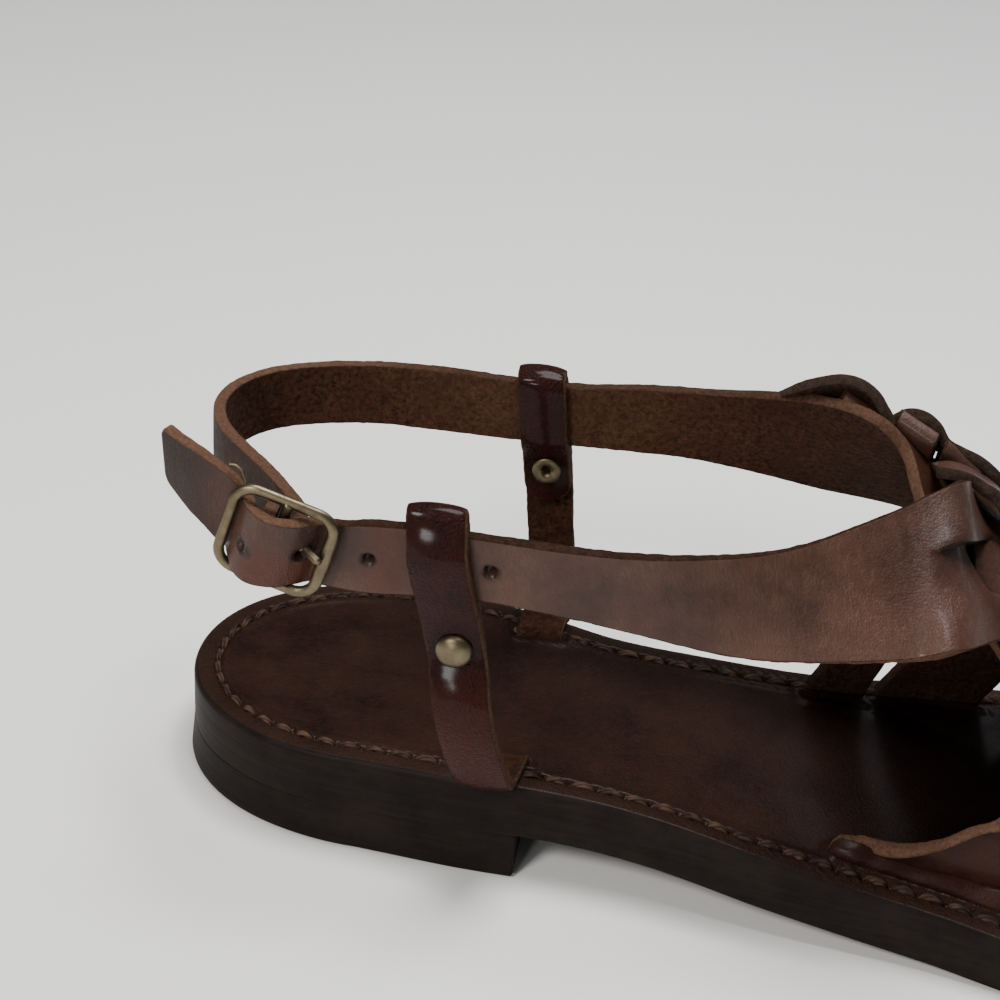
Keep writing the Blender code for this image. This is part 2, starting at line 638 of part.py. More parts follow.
def make_rivet(name, face, back, out):
    """Dome outside, post through both layers, flat washer inside: one turned profile round the post."""
    length = (face - back).length
    profile = [(0.0, DOME_RISE)]
    for k in range(1, DOME_STEPS):
        a = k * pi / 2 / DOME_STEPS
        profile.append((DOME_RADIUS * sin(a), DOME_RISE * cos(a)))
    profile += [(DOME_RADIUS, 0.0), (POST_RADIUS, 0.0), (POST_RADIUS, -length), (WASHER_RADIUS, -length)]
    profile += [(WASHER_RADIUS, -length - WASHER_THICK), (0.0, -length - WASHER_THICK)]
    bm = bmesh.new()
    turn = Vector((0, 0, 1)).rotation_difference(out).to_matrix()
    verts = [bm.verts.new((face + turn @ Vector((r, 0, h))) * MM) for r, h in profile]
    edges = [bm.edges.new(pair) for pair in zip(verts, verts[1:])]
    bmesh.ops.spin(bm, geom=verts + edges, cent=face * MM, axis=out, angle=2 * pi, steps=16, use_merge=True)
    bmesh.ops.remove_doubles(bm, verts=bm.verts, dist=0.01 * MM)
    bmesh.ops.recalc_face_normals(bm, faces=bm.faces)
    mesh = bpy.data.meshes.new(name)
    bm.to_mesh(mesh)
    bm.free()
    return bpy.data.objects.new(name, mesh)


def make_buckle(parts, cutters, brass):
    """Rounded rectangle of wire with a centre bar, and the prong that goes through the outer strap."""
    half_long, half_high, corner = BUCKLE_LENGTH / 2, BUCKLE_HEIGHT / 2, BUCKLE_CORNER
    ring = []
    for quarter, (sx, sy) in enumerate(((1, 1), (-1, 1), (-1, -1), (1, -1))):
        for k in range(5):
            a = (quarter + k / 4) * pi / 2
            along = sx * (half_long - corner) + corner * cos(a)
            up = BUCKLE_RISE + sy * (half_high - corner) + corner * sin(a)
            ring.append(buckle_point(along, 0, up))
    frame = finish(tube("buckle_frame", ring, BUCKLE_WIRE, cyclic=True), parts, brass)
    ends = [buckle_point(0, 0, BUCKLE_RISE + side * half_high) for side in (-1, 1)]
    bar = tube("centre_bar", ends, BAR_RADIUS)
    boolean(frame, bar, "UNION", cutters)
    finish(tube("buckle_prong", prong_path(), PRONG_RADIUS, resolution=2), parts, brass)


def main():
    clear_scene()
    parts = make_collection("fisherman_sandal")
    cutters = make_collection("cutters")
    leather = make_material("strap_leather")
    brass = make_material("antique_brass")
    insole = make_sole(parts)
    for name, rows, thick in make_upper(parts, cutters, leather):
        boolean(insole, slit_cutter("slit_" + name, rows[:SLIT_ROWS], thick), "DIFFERENCE", cutters)
    make_loop("outer", OUTER_LOOP, parts, cutters, leather, brass, insole)
    make_loop("inner", INNER_LOOP, parts, cutters, leather, brass, insole)
    make_buckle(parts, cutters, brass)
    for item in [*parts.objects, *cutters.objects]:
        item.location.x = -HEEL_SEAT * MM


main()
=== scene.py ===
import math
import random

import bmesh
import bpy
from mathutils import Matrix, Vector, noise


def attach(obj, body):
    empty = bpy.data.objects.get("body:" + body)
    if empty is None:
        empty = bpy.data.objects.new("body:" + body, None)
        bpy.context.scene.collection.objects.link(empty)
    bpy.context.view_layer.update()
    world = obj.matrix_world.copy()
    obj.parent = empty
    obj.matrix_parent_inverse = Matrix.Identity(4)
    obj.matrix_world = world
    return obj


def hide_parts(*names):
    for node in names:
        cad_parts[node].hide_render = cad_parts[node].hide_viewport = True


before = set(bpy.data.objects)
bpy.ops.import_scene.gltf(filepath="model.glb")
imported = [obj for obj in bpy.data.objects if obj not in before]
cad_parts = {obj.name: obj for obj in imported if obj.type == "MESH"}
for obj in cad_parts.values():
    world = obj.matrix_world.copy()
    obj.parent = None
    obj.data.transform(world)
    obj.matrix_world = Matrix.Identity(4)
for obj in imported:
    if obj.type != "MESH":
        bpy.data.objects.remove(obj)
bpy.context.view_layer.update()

mm = 0.001
heelSeat = 40.0        # tables give x from the back of the heel; the origin is under the heel
rng = random.Random(7)


# small tools
def srgb(code):
    parts = [int(code[k:k + 2], 16) / 255 for k in (0, 2, 4)]
    return tuple(c / 12.92 if c <= 0.04045 else ((c + 0.055) / 1.055) ** 2.4 for c in parts) + (1.0,)


def toWorld(point):
    return Vector((point[0] - heelSeat, point[1], point[2])) * mm


def fillInputs(tree, node, inputs):
    # inputs by name, or as a list in the node's own order; a value is set and an output is linked
    for key, value in inputs.items() if isinstance(inputs, dict) else enumerate(inputs):
        if isinstance(value, bpy.types.NodeSocket):
            tree.links.new(value, node.inputs[key])
        else:
            node.inputs[key].default_value = value


def addNode(tree, kind, inputs=(), output=0, **settings):
    node = tree.nodes.new("ShaderNode" + kind)
    for key, value in settings.items():
        setattr(node, key, value)
    fillInputs(tree, node, inputs)
    return node.outputs[output]


def newMaterial(name, shader):
    material = bpy.data.materials.new(name)
    material.use_nodes = True
    tree = material.node_tree
    surface = tree.nodes["Principled BSDF"]
    fillInputs(tree, surface, shader)
    return material, tree, surface


def smoothStep(low, high, value):
    t = max(0.0, min(1.0, (value - low) / (high - low)))
    return t * t * (3 - 2 * t)


def hump(value, centre, width):
    return math.exp(-((value - centre) / width) ** 2)


def speckle(point, size, seed=0.0):
    # soft noise of about the given size in millimetres, from -1 to 1
    return noise.noise(Vector((point[0] / size + seed, point[1] / size, point[2] / size)))


def through(rows, column, x):
    # smooth value of a table's column at x, without overshoot
    xs = [row[0] for row in rows]
    vs = [row[column] for row in rows]
    if x <= xs[0]:
        return vs[0]
    if x >= xs[-1]:
        return vs[-1]
    steps = [(vs[k + 1] - vs[k]) / (xs[k + 1] - xs[k]) for k in range(len(xs) - 1)]
    slopes = [steps[0]]
    for before, after in zip(steps, steps[1:]):
        slopes.append(0.0 if before * after <= 0 else 2 * before * after / (before + after))
    slopes.append(steps[-1])
    k = max(n for n in range(len(xs) - 1) if xs[n] <= x)
    width = xs[k + 1] - xs[k]
    t = (x - xs[k]) / width
    return (vs[k] * (1 + 2 * t) * (1 - t) ** 2 + slopes[k] * width * t * (1 - t) ** 2
            + vs[k + 1] * t * t * (3 - 2 * t) - slopes[k + 1] * width * t * t * (1 - t))


def gridPiece(nu, nv, place, capZone=None):
    # an operator grid whose vertices go where place(i, j) says: point in mm, (u, v) in mm, distance
    # from the cut edge in mm, material zone, and a value for stains and painted shade, dark above 0
    # and red below it; sides that meet are merged, and with a capZone the open ends are closed
    bm = bmesh.new()
    bmesh.ops.create_grid(bm, x_segments=nu, y_segments=nv, size=0.5)
    uvLayer = bm.loops.layers.uv.new("UVMap")
    edgeLayer = bm.verts.layers.float.new("edge")
    marksShadingLayer = bm.verts.layers.float.new("marksAndShading")
    facts = {}
    for vert in bm.verts:
        i, j = round((vert.co.x + 0.5) * nu), round((vert.co.y + 0.5) * nv)
        point, uv, vert[edgeLayer], zone, vert[marksShadingLayer] = place(i, j)
        facts[vert] = (uv, zone)
        vert.co = toWorld(point)
    for face in bm.faces:
        face.material_index = max(facts[vert][1] for vert in face.verts)
        face.smooth = True
        for loop in face.loops:
            loop[uvLayer].uv = [value * mm for value in facts[loop.vert][0]]
    bmesh.ops.remove_doubles(bm, verts=bm.verts, dist=1e-7)
    if capZone is not None:
        rim = [edge for edge in bm.edges if edge.is_boundary]
        made = bmesh.ops.holes_fill(bm, edges=rim, sides=0)
        for face in made["faces"]:
            face.material_index = capZone
        bmesh.ops.triangulate(bm, faces=made["faces"])
    bmesh.ops.recalc_face_normals(bm, faces=bm.faces)
    return bm


def addObject(name, data):
    item = bpy.data.objects.new(name, data)
    bpy.context.scene.collection.objects.link(item)
    return item


def meshObject(bm, name, materials):
    mesh = bpy.data.meshes.new(name)
    bm.to_mesh(mesh)
    bm.free()
    for material in materials:
        mesh.materials.append(material)
    return addObject(name, mesh)


def finishPiece(bm, name, materials, slot, *nodes):
    piece = meshObject(bm, name, materials)
    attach(piece, "root")
    if nodes:
        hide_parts(*nodes)


# leather and metal; a noise's scale is 1000 over the size of its patches in mm
def grainLeather(name, look):
    # vegetable-tanned cowhide, dyed and waxed: mottled brown with a fine pebbled grain, short pull
    # wrinkles across the strap with a painted highlight along them, stains where it is handled and
    # painted shade where other parts shade it, a low wax shine
    material, tree, surface = newMaterial(name, {
        "IOR": 1.5, "Specular IOR Level": look["shine"], "Coat Weight": look["wax"],
        "Coat Roughness": look["waxRough"]})
    where = addNode(tree, "TexCoord", output="Object")
    along = addNode(tree, "TexCoord", output="UV")
    broad = addNode(tree, "TexNoise", {
        "Vector": where, "Scale": 1000 / look["mottle"], "Detail": 4.0, "Roughness": 0.6})
    fine = addNode(tree, "TexNoise", {
        "Vector": where, "Scale": 1000 / look["fleck"], "Detail": 6.0, "Roughness": 0.7})
    pores = addNode(tree, "TexVoronoi", {"Vector": where, "Scale": 1000 / look["pebble"]})
    slant = math.radians(look["slant"])
    turned = addNode(tree, "Mapping", {"Vector": along, "Rotation": (0, 0, slant)})
    drawn = addNode(tree, "Mapping", {"Vector": turned, "Scale": (1.0, look["stretch"], 1.0)})
    pulls = addNode(tree, "TexNoise", {
        "Vector": drawn, "Scale": 1000 / look["pull"], "Detail": 3.0, "Roughness": 0.55})
    edge = addNode(tree, "Attribute", output="Fac", attribute_name="edge")
    marksAndShading = addNode(tree, "Attribute", output="Fac", attribute_name="marksAndShading")
    # the wrinkles are the lines where the drawn-out noise crosses its middle, in patches
    offset = addNode(tree, "Math", [pulls, 0.5], operation="SUBTRACT")
    apart = addNode(tree, "Math", [offset], operation="ABSOLUTE")
    line = addNode(tree, "MapRange", [apart, 0.0, look["line"], 1.0, 0.0])
    patch = addNode(tree, "MapRange", [broad, 0.4, 0.62])
    wrinkle = addNode(tree, "Math", [line, patch], operation="MULTIPLY")
    colour = srgb(look["dark"])
    for share, key in (
            (addNode(tree, "MapRange", [broad, 0.36, 0.66]), "light"),
            (addNode(tree, "MapRange", [fine, 0.36, 0.7, 0.0, look["warmShare"]]), "warm"),
            # painted highlight: a lighter colour along the wrinkle lines, for the glints they would catch
            (addNode(tree, "Math", [wrinkle, look["glintShare"]], operation="MULTIPLY"), "wrinkleGlint"),
            # red below 0 and dark above it: stains, and painted shade where other parts shade the surface
            (addNode(tree, "MapRange", [marksAndShading, 0.0, -1.0]), "red"),
            (addNode(tree, "MapRange", [marksAndShading, 0.0, 1.0]), "marksAndShading"),
            # lighter along the edges: wear, and on the insole's wide margin also a painted sheen
            (addNode(tree, "MapRange", [edge, 0.0, look["rub"], look["rubShare"], 0.0]), "wearAndSheen")):
        colour = addNode(tree, "Mix", {0: share, 6: colour, 7: srgb(look[key])}, 2, data_type="RGBA")
    rough = addNode(tree, "MapRange", [fine, 0.3, 0.7, *look["rough"]])
    relief = addNode(tree, "Math", [pores, -look["pebbleShare"], fine], operation="MULTIPLY_ADD")
    relief = addNode(tree, "Math", [wrinkle, look["pullRelief"], relief], operation="MULTIPLY_ADD")
    bump = addNode(tree, "Bump", {"Height": relief, "Strength": look["bump"], "Distance": 0.25 * mm})
    fillInputs(tree, surface, {"Base Color": colour, "Roughness": rough, "Normal": bump})
    return material


def fleshLeather(name, look):
    # the split side of the same hide: matt brown nap with darker and paler clumps of fibre;
    # the attribute of stains and painted shade marks here where the fibres are freshly cut and paler
    material, tree, surface = newMaterial(name, {
        "IOR": 1.45, "Roughness": 0.95, "Sheen Weight": look["sheen"], "Sheen Roughness": 0.5,
        "Sheen Tint": srgb(look["pale"]), "Specular IOR Level": 0.1})
    where = addNode(tree, "TexCoord", output="Object")
    clumps = addNode(tree, "TexNoise", {
        "Vector": where, "Scale": 1000 / look["clump"], "Detail": 6.0, "Roughness": 0.75})
    cloud = addNode(tree, "TexNoise", {"Vector": where, "Scale": 1000 / look["cloud"], "Detail": 3.0})
    fresh = addNode(tree, "Attribute", output="Fac", attribute_name="marksAndShading")
    cut = addNode(tree, "MapRange", [clumps, 0.3, 0.6, 0.35, 1.0])
    colour = srgb(look["dark"])
    for share, key in (
            (addNode(tree, "MapRange", [clumps, 0.38, 0.66]), "pale"),
            (addNode(tree, "MapRange", [cloud, 0.35, 0.65, 0.0, 0.55]), "tint"),
            (addNode(tree, "Math", [fresh, cut], operation="MULTIPLY"), "fresh")):
        colour = addNode(tree, "Mix", {0: share, 6: colour, 7: srgb(look[key])}, 2, data_type="RGBA")
    bump = addNode(tree, "Bump", {"Height": clumps, "Strength": look["bump"], "Distance": 0.6 * mm})
    fillInputs(tree, surface, {"Base Color": colour, "Normal": bump})
    return material


hide = {
    # sizes in mm: colour patches, flecks, pebbles of the grain, pull wrinkles, lighter zone along an
    # edge, worn and on the insole also a painted sheen
    "mottle": 14.0, "fleck": 1.8, "pebble": 0.5, "pull": 1.6, "rub": 0.9,
    # the wrinkles: drawing out, thickness of a line, slant in degrees, share of the painted highlight
    # along them, and relief
    "stretch": 0.3, "line": 0.03, "slant": 10.0, "glintShare": 0.12, "pullRelief": 0.3,
    "warmShare": 0.35, "rubShare": 0.4, "pebbleShare": 0.4, "bump": 0.5,
    # roughness from and to, then the wax
    "rough": (0.36, 0.5), "shine": 0.08, "wax": 0.08, "waxRough": 0.2,
}
strapGrain = grainLeather("strap grain, waxed veg-tan", {
    **hide, "dark": "31211b", "light": "4d352c", "warm": "4d3026", "wrinkleGlint": "735c52", "wearAndSheen": "403028",
    "marksAndShading": "1e120d", "red": "55261a", "mottle": 16.0, "fleck": 1.4, "pull": 1.5, "stretch": 0.25,
    "line": 0.04, "slant": 12.0, "warmShare": 0.4, "glintShare": 0.14, "pebbleShare": 0.45,
    "pullRelief": 0.7, "bump": 0.55, "shine": 0.2, "wax": 0.12})
heelGrain = grainLeather("heel strap grain, dry", {
    **hide, "dark": "2a1a14", "light": "3c261d", "warm": "44251a", "wrinkleGlint": "4a362e", "wearAndSheen": "4a3328",
    "marksAndShading": "1a0f0a", "red": "4a2116", "pull": 1.7, "glintShare": 0.1, "pebbleShare": 0.3,
    "pullRelief": 0.5, "rough": (0.5, 0.66), "shine": 0.04, "wax": 0.02, "waxRough": 0.3})
loopGrain = grainLeather("loop grain, polished veg-tan", {
    **hide, "dark": "170a08", "light": "29130f", "warm": "37140e", "wrinkleGlint": "2c1a18", "wearAndSheen": "402a20",
    "marksAndShading": "150a08", "red": "431a10", "mottle": 12.0, "fleck": 1.6, "pebble": 0.6, "pull": 1.4,
    "stretch": 0.4, "line": 0.04, "slant": 80.0, "warmShare": 0.5, "glintShare": 0.08, "rub": 0.5,
    "rubShare": 0.3, "pebbleShare": 1.0, "bump": 1.0, "rough": (0.26, 0.38), "shine": 0.05,
    "wax": 0.14, "waxRough": 0.13})
vampGrain = grainLeather("vamp grain, waxed veg-tan", {
    **hide, "dark": "1f120e", "light": "34201a", "warm": "3c1c13", "wrinkleGlint": "4a362e", "wearAndSheen": "463127",
    "marksAndShading": "150b08", "red": "40190f", "mottle": 20.0, "fleck": 2.0, "pull": 2.0, "slant": 60.0,
    "waxRough": 0.24})
# insole: veg-tan bend, burnished by wear: dark brown with redder patches, a margin lighter from wear and
# from a painted sheen, and a low satin shine
insoleLeather = grainLeather("insole bend leather, burnished", {
    **hide, "dark": "170e0b", "light": "2e1f19", "warm": "361c13", "wrinkleGlint": "4a372c", "wearAndSheen": "31241d",
    "marksAndShading": "110906", "red": "3c1a10", "mottle": 22.0, "fleck": 1.7, "pebble": 0.6, "stretch": 0.7,
    "slant": 30.0, "warmShare": 0.45, "rub": 5.0, "rubShare": 0.5, "pebbleShare": 0.8, "bump": 1.2,
    "rough": (0.42, 0.58), "shine": 0.045, "wax": 0.07})
strapFlesh = fleshLeather("flesh side, brushed", {
    "dark": "1a100b", "pale": "543828", "tint": "2e1b14", "fresh": "6a4b39", "clump": 1.1,
    "cloud": 11.0, "sheen": 0.08, "bump": 1.0})
cutEdge = fleshLeather("cut edge, raw fibres", {
    "dark": "21150f", "pale": "453024", "tint": "2c1d16", "fresh": "6c5040", "clump": 0.8,
    "cloud": 5.0, "sheen": 0.06, "bump": 1.0})
thongEdge = fleshLeather("thong edge, rubbed down", {
    "dark": "1d1613", "pale": "3c302a", "tint": "2a201b", "fresh": "5d483b", "clump": 1.0,
    "cloud": 6.0, "sheen": 0.04, "bump": 0.6})
strapSkins, heelSkins, loopSkins, vampSkins = [
    [grain, strapFlesh, cutEdge] for grain in (strapGrain, heelGrain, loopGrain, vampGrain)]
thongSkins = [strapGrain, strapFlesh, thongEdge]


def edgeLeather():
    # stacked sole leather, inked and burnished: near black, faint lengthwise layers, dull wax shine
    material, tree, surface = newMaterial("sole edge, inked and burnished", {
        "IOR": 1.5, "Coat Weight": 0.02, "Coat Roughness": 0.35, "Specular IOR Level": 0.04})
    where = addNode(tree, "TexCoord", output="Object")
    flat = addNode(tree, "Mapping", {"Vector": where, "Scale": (0.06, 0.06, 1.0)})
    layers = addNode(tree, "TexNoise", {"Vector": flat, "Scale": 1000 / 1.1, "Detail": 4.0})
    clouds = addNode(tree, "TexNoise", {
        "Vector": where, "Scale": 1000 / 11.0, "Detail": 5.0, "Roughness": 0.65})
    colour = srgb("151110")
    for share, code in ((addNode(tree, "MapRange", [clouds, 0.35, 0.7]), "221c1a"),
                        (addNode(tree, "MapRange", [layers, 0.45, 0.75, 0.0, 0.4]), "2a221c")):
        colour = addNode(tree, "Mix", {0: share, 6: colour, 7: srgb(code)}, 2, data_type="RGBA")
    rough = addNode(tree, "MapRange", [clouds, 0.0, 1.0, 0.36, 0.6])
    both = addNode(tree, "Math", [clouds, 0.8, layers], operation="MULTIPLY_ADD")
    bump = addNode(tree, "Bump", {"Height": both, "Strength": 0.25, "Distance": 0.3 * mm})
    fillInputs(tree, surface, {"Base Color": colour, "Roughness": rough, "Normal": bump})
    return material


def antiqueBrass():
    # cast brass, darkened and rubbed: greenish gold with brown in the low places, soft shine
    material, tree, surface = newMaterial("antique brass, rubbed", {"Metallic": 1.0})
    where = addNode(tree, "TexCoord", output="Object")
    tarnish = addNode(tree, "TexNoise", {
        "Vector": where, "Scale": 1000 / 2.4, "Detail": 5.0, "Roughness": 0.6})
    share = addNode(tree, "MapRange", [tarnish, 0.3, 0.8])
    colour = addNode(tree, "Mix", {0: share, 6: srgb("756b55"), 7: srgb("52483a")}, 2, data_type="RGBA")
    rough = addNode(tree, "MapRange", [tarnish, 0.0, 1.0, 0.36, 0.5])
    bump = addNode(tree, "Bump", {"Height": tarnish, "Strength": 0.15, "Distance": 0.1 * mm})
    fillInputs(tree, surface, {"Base Color": colour, "Roughness": rough, "Normal": bump})
    return material


def waxedThread():
    # waxed linen thread: brown, darker where the wax holds dirt, low shine
    material, tree, surface = newMaterial("waxed linen thread", {
        "IOR": 1.5, "Roughness": 0.75, "Specular IOR Level": 0.25})
    where = addNode(tree, "TexCoord", output="Object")
    dirt = addNode(tree, "TexNoise", {"Vector": where, "Scale": 1000 / 3.0, "Detail": 4.0})
    share = addNode(tree, "MapRange", [dirt, 0.35, 0.65])
    colour = addNode(tree, "Mix", {0: share, 6: srgb("1e130e"), 7: srgb("4b3629")}, 2, data_type="RGBA")
    fillInputs(tree, surface, {"Base Color": colour})
    return material


soleEdge = edgeLeather()
brass = antiqueBrass()
thread = waxedThread()
print("materials made")


# sole
sole = {
    "length": 288.0, "heelRound": 44.0, "toeRound": 62.0, "heelPower": 2.07, "toePower": 2.3,
    "breast": 78.7, "flare": 0.8, "outsoleThick": 7.8, "insoleThick": 4.3, "joint": 0.3,
    # centre line y and half width at x
    "plan": [(44, 2.9, 34.3), (62, 1.2, 33.9), (95, -2.5, 30.4), (130, -3.3, 34.3), (165, -0.4, 40.9),
             (200, 0.6, 47.0), (226, 2.6, 46.0), (288, 11.0, 44.0)],
    # underside z at x
    "tread": [(0, 9.2), (40, 10.2), (75, 10.9), (105, 9.2), (130, 6.3), (165, 1.9),
              (190, 0.0), (216, 0.0), (250, 2.4), (288, 8.6)],
    # points round the edge; widths of the even rim and of the zone that closes inside it; seam and stitch
    "around": 1000, "rim": 12.0, "closing": 30.0, "seam": 5.25, "stitch": 5.6,
}


def halfWidth(x):
    width = through(sole["plan"], 2, x)
    back = min(1.0, max(0.0, 1 - x / sole["heelRound"]))
    front = min(1.0, max(0.0, 1 - (sole["length"] - x) / sole["toeRound"]))
    heel = (1 - back ** sole["heelPower"]) ** (1 / sole["heelPower"])
    return width * heel * (1 - front ** sole["toePower"]) ** (1 / sole["toePower"])


def centreLine(x):
    return through(sole["plan"], 1, x)


def tread(x):
    return through(sole["tread"], 1, x)


def outsoleTop(x):
    return tread(x) + sole["outsoleThick"]


def insoleUnder(x):
    return outsoleTop(x) + sole["joint"]


def insoleTop(x):
    return insoleUnder(x) + sole["insoleThick"]


def evenLoop(points, count):
    # the closed line through the points, cut into equal steps
    points = points + [points[0]]
    lengths = [0.0]
    for a, b in zip(points, points[1:]):
        lengths.append(lengths[-1] + (b - a).length)
    result, k = [], 0
    for n in range(count):
        target = lengths[-1] * n / count
        while lengths[k + 1] < target:
            k += 1
        t = (target - lengths[k]) / max(1e-9, lengths[k + 1] - lengths[k])
        result.append(points[k].lerp(points[k + 1], t))
    return result, lengths[-1]


def soleOutline():
    xs = [sole["length"] * (1 - math.cos(math.pi * k / 360)) / 2 for k in range(361)]
    near = [Vector((x, centreLine(x) - halfWidth(x), 0)) for x in xs]
    far = [Vector((x, centreLine(x) + halfWidth(x), 0)) for x in reversed(xs[1:-1])]
    line, length = evenLoop(near + far, sole["around"])
    outs = []
    for n in range(len(line)):
        ahead = line[(n + 1) % len(line)] - line[n - 1]
        outs.append(Vector((ahead.y, -ahead.x, 0)).normalized())
    return line, outs, length


outline, outlineOut, outlineLength = soleOutline()
stitchCount = round(outlineLength / sole["stitch"])
stitchStep = outlineLength / stitchCount


def inward(n, distance):
    # point at a distance inside the sole's edge; past the even rim it closes towards the middle line
    n %= len(outline)
    rim = outline[n] - outlineOut[n] * min(distance, sole["rim"])
    if distance <= sole["rim"]:
        return rim
    middleX = 46 + (outline[n].x / sole["length"]) * 190
    middle = Vector((middleX, centreLine(middleX), 0))
    return rim.lerp(middle, min(1.0, (distance - sole["rim"]) / sole["closing"]))


# slits in the insole: x, y, half length, direction in degrees from +x, raised lip
slits = [
    (73.4, -23.9, 6.2, 0, 0.9), (74.6, 23.3, 5.6, 0, 0.8), (175.5, -33.4, 31.0, -8, 1.0),
    (143.5, 24.6, 7.2, 8, 0.3), (170.5, 33.0, 7.2, 8, 0.3), (268.9, 9.5, 5.0, 90, 0.4),
]


bed = {
    # in mm: crowned margin, stitch channel, stitch holes, how far the footbed lies below the margin
    "crown": 0.28, "channel": 0.62, "channelWide": 0.65, "hole": 0.75, "holeWide": 0.7, "holeLong": 0.75,
    "sunk": 0.35,
    # dents of heel and ball: x, length, across, width, depth
    "dents": [(44, 27, 0, 21, 1.0), (208, 26, -2, 26, 0.8)],
    # wrinkles slanting across the margin, puckers among them, and the footbed's slow waves
    "wrinkle": 0.24, "pucker": 0.26, "wave": 0.16,
}


def slitDistance(point, slit):
    x, y, half, turn, _ = slit
    c, s = math.cos(math.radians(turn)), math.sin(math.radians(turn))
    dx, dy = point.x - x, point.y - y
    along, across = dx * c + dy * s, -dx * s + dy * c
    return math.hypot(max(0.0, abs(along) - half), across)


def bedRelief(point, distance, alongEdge):
    # crowned margin, stitch channel, lower footbed with the foot's dents, wrinkles and slit lips
    x, y = point.x, point.y
    seam = sole["seam"]
    height = bed["crown"] * math.sin(math.pi * min(1.0, distance / seam)) if distance < seam else 0.0
    height -= bed["channel"] * hump(distance, seam, bed["channelWide"])
    beside = (alongEdge + stitchStep / 2) % stitchStep - stitchStep / 2
    height -= bed["hole"] * hump(distance, seam, bed["holeWide"]) * hump(beside, 0, bed["holeLong"])
    height -= bed["sunk"] * smoothStep(seam, seam + 3.2, distance)
    side = y - centreLine(x)
    inner = smoothStep(seam + 1, seam + 12, distance)
    for dentX, long, across, wide, deep in bed["dents"]:
        height -= inner * deep * hump(x, dentX, long) * hump(side, across, wide)
    height += (0.4 - 0.2 * smoothStep(60, 110, x)) * hump(distance, seam + 1.9, 0.9)
    wrinkled = 0.25 + 0.75 * hump(x, 150, 42) * (1.0 if side < 0 else 0.6)
    slant = 2 * math.pi * (alongEdge / (sole["stitch"] / 2) + distance * 0.16)
    band = hump(distance, seam - 0.6, 2.0)
    height += bed["wrinkle"] * wrinkled * band * math.sin(slant + 2.6 * speckle((x, y, 0), 6.0, 3.1))
    height += bed["pucker"] * wrinkled * band * speckle((x * 0.5, y, 0), 1.4, 8.2)
    height += bed["wave"] * inner * speckle((x, y, 0), 17.0, 5.5)
    for slit in slits:
        gap = slitDistance(point, slit)
        if gap < 6:
            height += slit[4] * hump(gap, 1.9, 1.0) - 0.3 * hump(gap, 0, 0.9)
    return height


def sideWave(point, distance, z):
    # the hand-trimmed side is not quite even; all layers share it, so the side stays flush
    return 0.13 * speckle((point.x, point.y, z * 0.5), 15.0, 4.4) if distance < 2 else 0.0


def rimRings(distances, thick, rim, lowRim):
    # rings over a sole layer: how far inside the edge, how far down, and where
    turns = [k * math.pi / 12 for k in range(7)]
    top = [(d, 0.0, "top") for d in distances]
    corner = [(rim * (1 - math.sin(a)), rim * (1 - math.cos(a)), "rim") for a in turns]
    side = [(0.0, rim + (thick - rim - lowRim) * k / 6, "side") for k in range(1, 6)]
    low = [(lowRim * (1 - math.sin(a)), thick - lowRim * (1 - math.cos(a)), "side")
           for a in reversed(turns)]
    under = [(d, thick, "under") for d in (1.6, 4, 8, 12, 18, 26, 34, 42)]
    return top + corner + side + low + under


def bedShade(point, distance):
    # painted shade: darker under the instep straps and the vamp, and beside the inner quarter, where they
    # shade the footbed
    side = point.y - centreLine(point.x)
    dark = smoothStep(118, 190, point.x) * smoothStep(4, 14, distance)
    dark = max(dark, 0.6 * hump(point.x, 98, 26) * smoothStep(4, 26, side))
    return min(1.0, dark * (0.85 + 0.3 * speckle((point.x, point.y, 0), 20, 9.0)))


def makeInsole():
    # the rings lie closest over the stitch channel
    rings = rimRings((
        42, 39.5, 37, 34.5, 32, 30, 28, 26, 24, 22, 20, 18.5, 17, 15.5, 14, 13, 12, 11, 10.2, 9.4, 8.7,
        8.1, 7.5, 7.0, 6.6, 6.25, 5.95, 5.7, 5.5, 5.25, 5.0, 4.8, 4.55, 4.25, 3.9, 3.5, 3.0, 2.5, 2.0,
        1.6, 1.25), sole["insoleThick"] + sole["joint"], 1.1, 0.05)
    count = sole["around"]

    def place(i, j):
        distance, down, zone = rings[j]
        point = inward(i, distance)
        alongEdge = outlineLength * (i % count) / count
        z = insoleTop(point.x)
        upper = zone in ("top", "rim")
        if upper:
            z += bedRelief(point, distance, alongEdge) * smoothStep(0.0, 0.6, distance)
        z -= down
        edge = not upper or (zone == "rim" and down > 0.12)
        x, y, _ = point + outlineOut[i % count] * sideWave(point, distance, z)
        marksAndShading = bedShade(point, distance) if upper else 0.0
        return (x, y, z), (alongEdge, distance - down), distance, int(edge), marksAndShading

    bm = gridPiece(count, len(rings) - 1, place)
    finishPiece(bm, "insole", [insoleLeather, soleEdge], "insole_leather", "insole")


def makeOutsole():
    rings = rimRings((42, 20, 8.1, 2.0, 1.6, 1.25), sole["outsoleThick"], 0.05, 0.4)
    count = sole["around"]

    def place(i, j):
        distance, down, zone = rings[j]
        if outline[i % count].x < sole["breast"] and zone == "side" and down > 4:
            distance *= 0.1            # square where it meets the heel block
        point = inward(i, distance)
        z = outsoleTop(point.x) - down
        x, y, _ = point + outlineOut[i % count] * sideWave(point, distance, z)
        if zone == "under" and distance > 3 and not 188 < point.x < 218:
            z += 0.12 * speckle((point.x, point.y, 0), 20, 2.0)     # worn, but flat where it stands
        return (x, y, z), (outlineLength * i / count, distance + down), distance, 0, 0.0

    bm = gridPiece(count, len(rings) - 1, place)
    finishPiece(bm, "outsole", [soleEdge], "sole_leather", "outsole")


